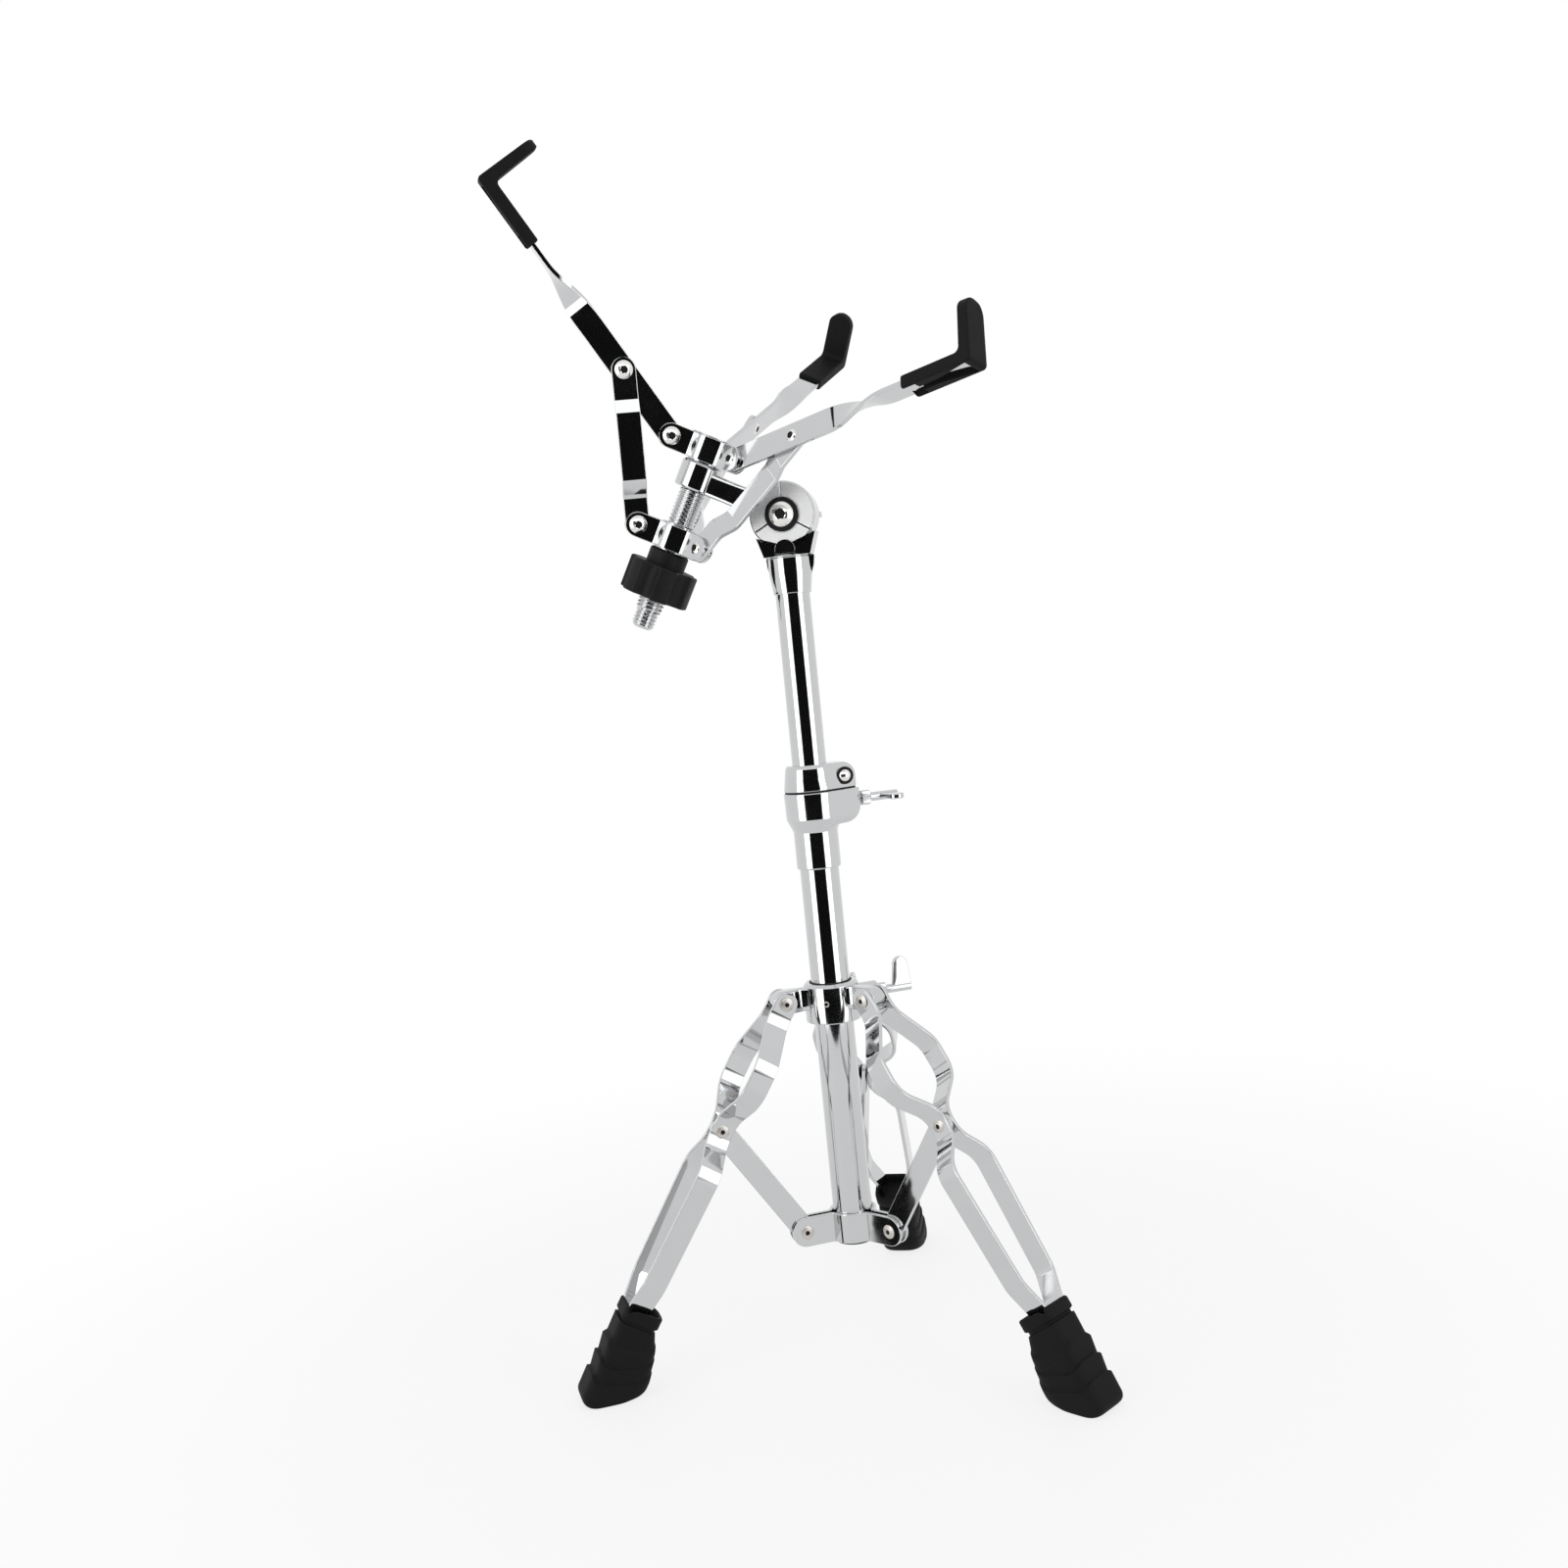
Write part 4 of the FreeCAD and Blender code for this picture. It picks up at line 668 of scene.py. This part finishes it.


# Memory lock
# A split ring on the clamp that remembers the height; a bolt draws its lugs together, and a black ring at
# each bolt end paints the shade of a recess.
# Die-cast, chrome plated, wider at its foot, with a seat at each bolt end and a black gasket below.

lock_place = moved(z=365.4)
lock_wall = eased([(11.2, 1.0), (18.0, 1.0), (17.9, 2.25), (16.0, 15.4), (14.9, 17.7), (11.2, 17.7)], 0.6)
pivot, crest, lock_end, foot_round = 8.85, 8.65, 27.85, 1.4
lock_wall = with_levels(lock_wall, np.r_[1.35, 1.85, 2.45, pivot + crest * np.sin(swing),
                                         pivot + crest + 0.03])
rise = np.clip(lock_wall[:, 1] - pivot, 0, crest)
sag = np.clip(2.4 - lock_wall[:, 1], 0, foot_round)
lock_reach = lock_end - crest + np.sqrt(crest ** 2 - rise ** 2)
lock_reach += np.sqrt(foot_round ** 2 - sag ** 2) - foot_round
lock_reach[(lock_wall[:, 1] > pivot + crest + 0.01) | (lock_wall[:, 0] < 11.5)] = 0.0
bolt_place = lock_place @ moved(19.0, 0, pivot)
seat = eased([(0.5, 7.0), (5.8, 7.0), (5.8, 13.0), (0.5, 13.0)], 0.35)
bolt_ends = [bolt_place @ spun("x", side) for side in (90, -90)]
seats = [turned(seat, end, 64) for end in bolt_ends]
make("memory_lock_casting", [lugged(lock_wall, lock_reach, 9.0, 1.6, lock_place, 1.5)] + seats,
     "memory_lock", chrome, "memory_lock")
gasket = eased([(11.3, 0.05), (17.5, 0.05), (17.5, 1.05), (11.3, 1.05)], 0.1)
gasket_reach = np.where(gasket[:, 0] > 17.0, lock_end - 0.5, 0.0)
make("memory_lock_gasket", [lugged(gasket, gasket_reach, 8.5, 1.4, lock_place)], "memory_lock",
     black_plastic)
# Black rings round the bolt ends: painted shade of a recess round each end.
make("memory_lock_bolt_shade_rings", [tube(3.0, 5.7, 12.9, 13.5, 0.2, end, 64, 3) for end in bolt_ends],
     "memory_lock", black_plastic)
make("memory_lock_cap_screw", [rivet(bolt_place @ spun("z", 180), 27.0, 7.4, 1.7, 7.4, 1.7)],
     "memory_lock", bright_nickel, "memory_lock_bolt")


# Upper tube and ferrule
# The tube that slides in the clamp to set the height, and the turned cap that joins it to the tilter.
# Drawn steel and turned steel, both chrome plated; the ferrule is pressed on.

make("upper_column_tube", [tube(9.9, 11.1, 185.0, 514.0, 0.4)], "upper_column", chrome, "upper_tube")
cap = eased([(11.15, 493.0), (12.25, 493.0), (12.25, 494.5), (13.8, 505.5), (13.8, 516.0), (0.5, 516.0)], 0.6)
inside = [(0.5, 514.05), (11.15, 514.05)]
make("ferrule", [turned(np.vstack([cap, inside]), ring=True)], "upper_column", chrome, "tilter_ferrule")


# Tilter base
# The rear half of the tilter: it flares into a disc and cradles the front one, with a tab and an apron.
# Forged steel, chrome plated, fixed to the ferrule from below.

tilter_level, tilter_turn = 543.0, -28.9
tilter_place = moved(z=tilter_level) @ spun("z", tilter_turn)
puck = eased([(0.5, -26.95), (13.7, -26.95), (13.7, -26.2), (10.2, -24.4), (0.5, -24.4)], 0.4)
swing = np.radians(np.linspace(-40, -140, 41))
cradle = np.vstack([[(-14.4, -26.3), (0.0, -26.3), (16.0, -26.3), (20.6, -12.4)],
                    polar(21.9, swing), [(-18.4, -13.4)]])
swing = np.linspace(0, np.pi, 25)
tab = np.vstack([polar(1, swing) * (6.5, 6.2) - (0, 22.0), [(-6.5, -24.5), (6.5, -24.5)]])
apron = eased([(-15.4, -26.3), (-14.9, -32.5), (-13.2, -39.0), (13.4, -39.0), (15.8, -32.5), (16.6, -26.3)],
              0.6, closed=True, steps=3)
rear_disc = [(4.1, 1.25), (20.0, 1.25), (20.5, 1.75), (20.5, 9.2), (19.5, 10.2), (4.1, 10.2)]


def flare(at, around=80):
    """Loops that climb from the puck to the disc: a square with round corners whose half width grows
    with the height to the power 1.4."""
    w = np.linspace(0, 1, 15)[:, None]
    u = circle(around)
    c, s = boxy(u, 0.35)
    width = 10.5 + 5.5 * w ** 1.4
    return skin(np.stack([width * c, 5.7 + 4.45 * s + 0 * w, -26.3 + 26.3 * w + 0 * u], -1), at)


to_front, to_back = spun("x", 90), spun("x", -90)
make("tilter_rear_half", [turned(puck, tilter_place), hoop(rear_disc, 0.4, tilter_place @ to_back),
                          flare(tilter_place),
                          slab(cradle, 11.7, tilter_place @ moved(y=-4.6) @ to_front, 0.35),
                          slab(tab, 1.1, tilter_place @ moved(y=-10.85) @ to_front, 0.15),
                          slab(apron, 2.4, tilter_place @ moved(y=1.0) @ to_front, 0.3)],
     "upper_column", chrome, "tilter_base")


# Tilter bolt
# The bolt that the tilter turns on, with a black washer under its domed head and a wing nut behind.
# Nickel-plated steel; the washer is black, and a fibre disc gives the friction between the halves.

crown = dome(7.65, 3.7, 3.7) + (0, 12.4)
shank = [(0.02, -26.0), (3.5, -26.0), (3.95, -25.4), (3.95, 11.8), (7.8, 11.8), (7.8, 12.3)]
bolt = np.vstack([shank, crown, well(crown[-1], 3.1)])
make("tilter_bolt_head", [turned(bolt, tilter_place @ to_front, 72, hexed=3)], "upper_column",
     bright_nickel, "tilter_bolt")
# A black pin inside the bolt: painted shade on the floor of its socket.
make("tilter_bolt_shade_plug", [core(tilter_place @ spun("z", 180), 13.0, 14.5, 3.1)], "upper_column",
     black_plastic)
make("tilter_black_washer", [tube(4.1, 10.9, 10.25, 11.75, 0.5, tilter_place @ to_front, 72, 5)],
     "upper_column", black_plastic, "tilter_washer")

fibre, start = new_finish("friction_fibre", 0.0, IOR=1.45)
fleck = start.speckle(0.9, 4.0)
start.dress(fleck.tint((0.045, 0.035, 0.028), (0.110, 0.085, 0.065)), 0.72 + 0.20 * fleck,
            fleck.relief(0.4, 0.08))
coat("tilter_friction_disc", fibre)

nut = [(4.1, 10.4), (7.5, 10.4), (6.4, 20.4), (4.1, 20.4)]
wing = np.array([(5.0, -3.6), (10.0, -4.6), (17.0, -5.2), (20.0, -3.0), (20.0, 3.0), (17.0, 5.2),
                 (10.0, 2.0), (5.0, 1.0)])
wings = [slab(eased((wing * (side, 1))[::side], 2.6, closed=True), 4.0, tilter_place @ moved(y=19.0), 0.9)
         for side in (1, -1)]
make("tilter_nut_casting", [hoop(nut, 0.7, tilter_place @ to_back, 64)] + wings, "tilter_nut", chrome,
     "tilter_wing_nut")


# Tilter arm
# The front half of the tilter: a disc, a short web beside it and the collar that holds the rod.
# One steel forging, chrome plated; the disc has a bevelled rim and a ground face with three seams.

tilt, rod_offset = 27.9, -62.5
basket_place = tilter_place @ spun("y", tilt)
rod_place = basket_place @ moved(rod_offset)
front_disc = [(4.1, 1.25), (20.9, 1.25), (21.3, 1.7), (21.3, 9.0), (20.4, 9.9), (4.1, 9.9)]
rod_collar = [(9.1, -7.0), (12.6, -7.0), (13.5, -5.8), (13.5, 9.4), (12.4, 11.0), (9.1, 11.0)]


def smooth(x, low, high):
    """A smooth step, 3t^2 - 2t^3, from 0 at low to 1 at high."""
    t = np.clip((x - low) / (high - low), 0, 1)
    return t * t * (3 - 2 * t)


def web(at, around=64):
    """Loops from the collar to the disc: a square with round corners whose middle and half depth shift
    from the rod's line to the front disc along a smooth step."""
    w = np.linspace(0, 1, 25)[:, None]
    step = smooth(w, 0.25, 0.75)
    u = circle(around)
    c, s = boxy(u, 0.3)
    middle, deep = -2.15 - 2.75 * step, 6.4 - 2.75 * step
    return skin(np.stack([-54.0 + 40.0 * w + 0 * u, middle + deep * c, 7.4 * s + 0 * w], -1), at)


make("tilter_front_half", [hoop(front_disc, 0.4, basket_place @ to_front),
                           hoop(rod_collar, 0.5, rod_place), web(basket_place)],
     "basket", chrome, "tilter_arm")

# Satin: the disc's face is ground, not polished
satin = bare_metal("satin_steel", (0.790, 0.793, 0.797), (0.860, 0.862, 0.865),
                   rough=0.54, climb=0.12, patch=3.0, grain=0.35, strength=0.16)


def ground_face(at, around=360):
    """A flat ring in polar rows; each of three radial seams lowers it by a bell curve of the distance
    from the seam's line, radius times the sine of the angle from it."""
    inner, outer, low, high = 9.0, 20.2, 9.0, 10.2
    first_seam, seam_depth, seam_width = np.radians(115), 0.55, 0.60
    profile = eased([(inner, low), (outer, low), (outer, high), (inner, high)], 0.25, closed=True, steps=4)
    radius, height = profile.T[:, :, None]
    u = circle(around)
    off = (u - first_seam + np.pi / 3) % (2 * np.pi / 3) - np.pi / 3
    seam = seam_depth * np.exp(-(radius * np.sin(off) / seam_width) ** 2) * (height > (low + high) / 2)
    return skin(polar(radius, u, height - seam), at, ring=True)


make("tilter_ground_face", [ground_face(basket_place @ to_front)], "basket", satin)


# Threaded rod
# The rod that the whole basket sits on; the knob climbs its thread to close the arms.
# Steel with a rolled thread and a smaller end, chrome plated.

def thread(at, low=-102.0, high=28.9, pitch=2.5, around=60):
    """Radius = root + depth * a clipped triangle wave of height / pitch less the turn; the end below is
    turned smaller, threaded as well, and chamfered."""
    z = np.linspace(low, high, int((high - low) / pitch * 9))[:, None]
    u = circle(around)
    root, depth, shoulder = 7.9, 1.05, -91.0
    wave = np.abs(2 * ((z / pitch - u / (2 * np.pi)) % 1.0) - 1)
    radius = root + depth * np.clip(1.5 * wave - 0.25, 0, 1)
    tip = np.minimum(radius - 1.2, 5.6 + 0.9 * (z - low))
    share = np.clip((z - shoulder) / 1.6, 0, 1)
    radius = radius * share + tip * (1 - share)
    return skin(polar(radius, u, z), at)


make("basket_rod", [thread(rod_place)], "basket", chrome, "threaded_rod")


# Basket hubs
# The upper hub is fixed and carries the arms, the lower one slides and carries the links.
# Each is a turned sleeve with three bent plates round it, chrome plated, and bright socket rivets.

hub_level, basket_turn, hub_reach, hub_drop = 20.0, 26.5, 26.4, 60.0
arm_places = [rod_place @ moved(z=hub_level) @ spun("z", basket_turn) @ place for place in leg_places]
cap_rivet = bright_nickel, 0.5, 1.5, 2.05, {"head": 11.5, "crown": 2.6, "tail": 7.5, "tail_crown": 1.3,
                                            "socket": 5.2, "bore": 4.4}
for name, body, level in (("upper", "basket", 0.0), ("lower", "lower_hub", -hub_drop)):
    hub = arm_places[0] @ moved(z=level)
    sleeve = [(9.1, -9.0), (11.4, -9.0), (11.4, 9.0), (9.1, 9.0)]
    if name == "upper":
        sleeve[2:3] = [(11.4, 8.05), (13.9, 8.05), (13.9, 9.0)]
    make(f"{name}_hub_core", [hoop(sleeve, 0.4, hub, steps=4)], body, chrome, f"{name}_hub_sleeve")
    make(f"{name}_hub_bands", [ear_plate(11.5, hub_reach, 16.0, ear_gap, third) for third in thirds(hub)],
         body, chrome, f"{name}_hub_plates")
    fasten(f"{name}_hub_rivet_set", f"{name}_hub_rivet_shade_plugs", cap_rivet, ear_grip,
           [third @ moved(hub_reach) for third in thirds(hub)], body, f"{name}_hub_rivets")


# Basket arms
# Three bars that rise from the upper hub, turn a quarter turn and end in a claw that holds the rim.
# Steel strip, twisted and bent cold, chrome plated, each with the rivet that its link hangs on.

arm_slope, arm_pivot, arm_width, arm_thickness = 31.9, 50.2, 15.5, 3.0
arm_end, claw_bend, claw_tip, twist_start, twist_end = arm_width / 2, 185.4, 30.5, 77.0, 127.0
arm_lines = [place @ moved(hub_reach) @ spun("y", -arm_slope) for place in arm_places]
claw = eased([(-arm_end, 0, 0), (claw_bend, 0, 0), (claw_bend, 0, claw_tip)], 4.0, steps=9)
run = np.stack([np.linspace(-arm_end, 178.0, 90), np.zeros(90), np.zeros(90)], -1)
arm_line = np.vstack([run, claw[1:]])
quarter = np.radians(90) * smooth(arm_line[:, 0], twist_start, twist_end)
arm_side = np.stack([0 * quarter, np.sin(quarter), np.cos(quarter)], -1)
for index, place in enumerate(arm_lines, start=1):
    arm = f"arm_{index}"
    bar = strap(arm_line, arm_side, arm_width, arm_thickness, place, 0.5, round_end=False)
    make(f"basket_{arm}", [bar], arm, chrome, arm)
    fasten(f"basket_{arm}_rivet", f"basket_{arm}_rivet_shade_plug", cap_rivet, 6.2, [place @ moved(arm_pivot, 1.6)],
           arm, f"{arm}_rivet")


# Claw boots
# Rubber covers pushed over the claws, slotted underneath so that they can be pulled on.
# Black rubber with rounded edges and a round tip.

def boot(at, low=140.6, edge=1.3):
    """A bar between an inner and an outer line, each with its own bend: middle + through * half the step
    between the lines + across * side, where (across, through) goes round a rectangle with round
    corners. A slot is let into the outer side up to the bend, wide at the mouth and again at the
    bend, and the tip is half a circle."""
    radius, claw_run, top = 8.7, 34.0, 36.9
    inner = eased([(low, 4.0), (181.4, 4.0), (182.2, top)], 3.6, steps=11)
    outer = eased([(low, -4.0), (189.3, -4.0), (188.7, top)], 2.4, steps=11)
    sleeve = np.r_[0, 0.005, 0.015, 0.035, 0.08, 0.14, 0.196, 0.20, 0.21, np.linspace(0.25, 0.9, 8),
                   0.955, 0.96, 0.97]
    tips = 1 - radius / claw_run * (1 - np.cos(np.linspace(np.pi / 2, 0.06, 14)))
    rows = np.r_[sleeve, np.arange(1, 12), 11 + np.r_[0.25, 0.5, 0.65, tips]]
    knots = np.arange(len(inner))
    inner, outer = (sampled(line, knots, rows) for line in (inner, outer))
    middle, step = (inner + outer) / 2, (inner - outer) / 8
    ahead, left = np.clip(rows, 0, 1), claw_run * (12 - rows)
    half = np.sqrt(radius ** 2 - (radius - np.clip(left, 0, radius)) ** 2)[:, None]
    mouth = 1.1 * (1 - np.sqrt(1 - np.clip(1 - ahead / 0.035, 0, 1) ** 2))[:, None]
    nose = 1.4 * (np.clip(1 - left / 3.0, 0, 1) ** 2)[:, None]
    half, thick = half - mouth, 4.0 - mouth - nose
    round_edge = np.minimum(edge, 0.45 * half)
    across, through = rectangle(half, thick, round_edge, 5)
    wedge = np.interp(ahead, [0.2, 0.5, 0.95], [2.2, 2.5, 7.1])
    wide = np.where(ahead < 0.198, 6.6, wedge)[:, None]
    deep = 2.8 * (ahead < 0.957)[:, None]
    lips = np.concatenate([-wide - 0.15, -wide, 0.15 - wide, wide - 0.15, wide, wide + 0.15], 1)
    lips = lips * np.minimum(1.0, 0.97 * (half - round_edge) / (wide + 0.15))
    floor = -thick + deep * np.array([[0.0, 0.12, 1.0, 1.0, 0.12, 0.0]])
    across = np.concatenate([across[:, :15], lips, across[:, 15:]], 1)
    through = np.concatenate([through[:, :15], floor, through[:, 15:]], 1)
    flat = middle[:, None] + through[..., None] * step[:, None]
    return skin(np.stack([flat[..., 0], across, flat[..., 1]], -1), at)


for index, place in enumerate(arm_lines, start=1):
    make(f"claw_boot_{index}", [boot(place)], f"arm_{index}", black_rubber, f"arm_{index}_boot", sharp=50)


# Basket links
# Stepped bars from the middle of each arm down to the sliding hub, which open and close the basket.
# Steel strip with two joggles so that it passes beside the arm, chrome plated.

link_out, link_rise = polar(arm_pivot, np.radians(arm_slope))
link_length = np.hypot(link_out, hub_drop + link_rise)
link_fall = np.degrees(np.arctan2(hub_drop + link_rise, -link_out))
beside_arm, over_hub = 3.2, 6.2
joggle = np.array([(-arm_end, beside_arm), (0.185 * link_length, beside_arm), (0.285 * link_length, over_hub),
                   (0.715 * link_length, over_hub), (0.815 * link_length, 0.0), (link_length + arm_end, 0.0)])
link_line = eased(joggle, 8.0, steps=11)
for index, place in enumerate(arm_places, start=1):
    at = place @ moved(hub_reach + link_out, 0, link_rise) @ spun("y", link_fall)
    make(f"basket_link_{index}", [upright(link_line, arm_width, arm_thickness, at, 0.5)], f"link_{index}",
         chrome, f"link_{index}")


# Clamping knob
# The lobed grip under the sliding hub: turning it drives the hub up the rod and closes the arms.
# Moulded black plastic on a threaded metal insert.

knob_place = arm_places[0] @ moved(z=-hub_drop)


def lobes(radius=23.0, centre=26.75, groove=7.5, around=240):
    """Radius round the grip: the rim joined to six scallops by a soft minimum, where a scallop is the
    near side of a circle, centre * cos a less the root of groove^2 - (centre * sin a)^2."""
    u = circle(around)
    a = (u + np.pi / 6) % (np.pi / 3) - np.pi / 6
    inside = np.maximum(groove ** 2 - (centre * np.sin(a)) ** 2, 0)
    scallop = np.where(inside > 0, centre * np.cos(a) - np.sqrt(inside), 200.0)
    blend = 50
    return polar((radius ** -blend + scallop ** -blend) ** (-1 / blend), u)


neck = [(11.2, -20.0), (13.0, -20.0), (13.0, -10.2), (12.0, -9.2), (11.2, -9.2)]
grip = slab(lobes(), 22.0, knob_place @ moved(z=-30.2), 1.2, rim=8.0, sink=0.01, bore=11.15, steps=7)
make("knob_grip", [grip, hoop(neck, 0.6, knob_place)], "knob", black_plastic, "knob", sharp=45)
coat("knob_insert", nickel)


# Floor, light and camera
# A plain pale floor that takes the shadow, two tall soft boxes beside the camera and a white room with
# a dark gap behind the camera and a bright panel over the gap, as bright chrome shows a studio.

floor_finish, start = new_finish("pale_floor", 0.0, Roughness=0.55)
shader = start.tree.nodes["Principled BSDF"]
start.speckle(300.0).tint((0.80, 0.80, 0.80), (0.82, 0.82, 0.82)).feed(shader, "Base Color")
spot = start.node("ShaderNodeTexCoord", out="Object")
away = start.node("ShaderNodeVectorMath", {"operation": "LENGTH"}, {0: spot}, "Value").between(0.22, 0.85)
looked_at = start.math("MAXIMUM", start.ray("Camera"), start.ray("Glossy"))
looked_at = start.math("MAXIMUM", looked_at, start.ray("Transmission"))
paper = start.node("ShaderNodeEmission", {}, {"Color": (1, 1, 1, 1), "Strength": 1.0})
lit = Wire(start.tree, shader.outputs[0])
paper = start.node("ShaderNodeMixShader", {}, {0: looked_at * (0.80 + 0.20 * away), 1: lit, 2: paper})
start.tree.links.new(paper.socket, start.tree.nodes["Material Output"].inputs["Surface"])
toward = np.radians(-107.0)
bearing = np.array([0, 15, 30, 45, 60, 72, 85, 110, 140, 180])
reach = np.array([0.86, 0.88, 0.96, 0.97, 0.97, 1.15, 2.2, 3.2, 4.2, 3.2])
bearing, reach = np.radians(np.r_[bearing, -bearing[-2:0:-1]]), np.r_[reach, reach[-2:0:-1]]
rim = polar(reach, bearing + toward)
edge, count, floor_level = np.arange(len(rim)), len(rim), -0.0005
mesh = bpy.data.meshes.new("floor")
mesh.from_pydata(np.c_[np.vstack([rim, [(0, 0)]]), np.full(count + 1, floor_level)].tolist(), [],
                 np.stack([edge, (edge + 1) % count, np.full(count, count)], -1).tolist())
mesh.materials.append(floor_finish)
floor = bpy.data.objects.new("floor", mesh)
bpy.context.collection.objects.link(floor)

scene = bpy.context.scene
scene.view_settings.view_transform = "Standard"
world = bpy.data.worlds.new("studio")
scene.world = world
world.use_nodes = True
start = Wire(world.node_tree)
direction = start.node("ShaderNodeTexCoord", out="Generated")
turned_to = start.node("ShaderNodeVectorRotate", {"rotation_type": "Z_AXIS"},
                       {"Vector": direction, "Angle": float(-toward)})
outputs = start.node("ShaderNodeSeparateXYZ", {}, {0: turned_to}).socket.node.outputs
ahead, beside, up = (Wire(world.node_tree, outputs[axis]) for axis in range(3))
swing = start.math("ABSOLUTE", start.math("ARCTAN2", beside, ahead))
gap_side, panel_foot, panel_head = (0.56, 0.64), (0.27, 0.33), (0.55, 0.65)
fill, gap_depth, panel_gain = 0.72, 0.993, 0.75
behind, over = 1 - swing.between(*gap_side), up.between(*panel_foot)
gap = behind * (1 - over)
panel = behind * over * (1 - up.between(*panel_head))
seen, mirrored = start.ray("Camera"), start.math("MAXIMUM", start.ray("Glossy"), start.ray("Transmission"))
room = fill * (1 - mirrored) + mirrored * (1 - gap_depth * gap + panel_gain * panel)
level = seen + (1 - seen) * room
background = world.node_tree.nodes["Background"]
background.inputs["Color"].default_value = (1, 1, 1, 1)
level.feed(background, "Strength")


def stand(data, right, upward, forward, spot):
    """Put a lamp or a lens at a spot, turned by its right, its upward and its forward direction."""
    made = bpy.data.objects.new(data.name, data)
    turn = np.stack([right, upward, -forward], 1)
    made.matrix_world = Matrix(np.vstack([np.c_[turn, spot], [0, 0, 0, 1]]).tolist())
    bpy.context.collection.objects.link(made)
    return made


box_swing, box_distance, box_level, aim_level = np.radians(50), 1.7, 0.35, 0.4
for hand in (-1, 1):
    lamp = bpy.data.lights.new("soft_box", "AREA")
    lamp.shape, lamp.size, lamp.size_y, lamp.energy = "RECTANGLE", 0.85, 2.3, 10.5
    spot = np.r_[polar(box_distance, toward + hand * box_swing), box_level]
    facing = unit(np.array([0, 0, aim_level]) - spot)
    right = unit(np.cross(facing, (0, 0, 1)))
    stand(lamp, right, np.cross(right, facing), facing, spot)

yaw, pitch, roll = np.radians([16.075, -3.978, -5.626])
forward = np.array([np.sin(yaw) * np.cos(pitch), np.cos(yaw) * np.cos(pitch), np.sin(pitch)])
level_right = np.array([np.cos(yaw), -np.sin(yaw), 0])
level_up = np.cross(level_right, forward)
right = level_right * np.cos(roll) + level_up * np.sin(roll)
upward = -level_right * np.sin(roll) + level_up * np.cos(roll)
lens = bpy.data.cameras.new("camera")
lens.lens, lens.sensor_width = 35.84, 36.0
scene.camera = stand(lens, right, upward, forward, (-0.2956, -0.9626, 0.442))
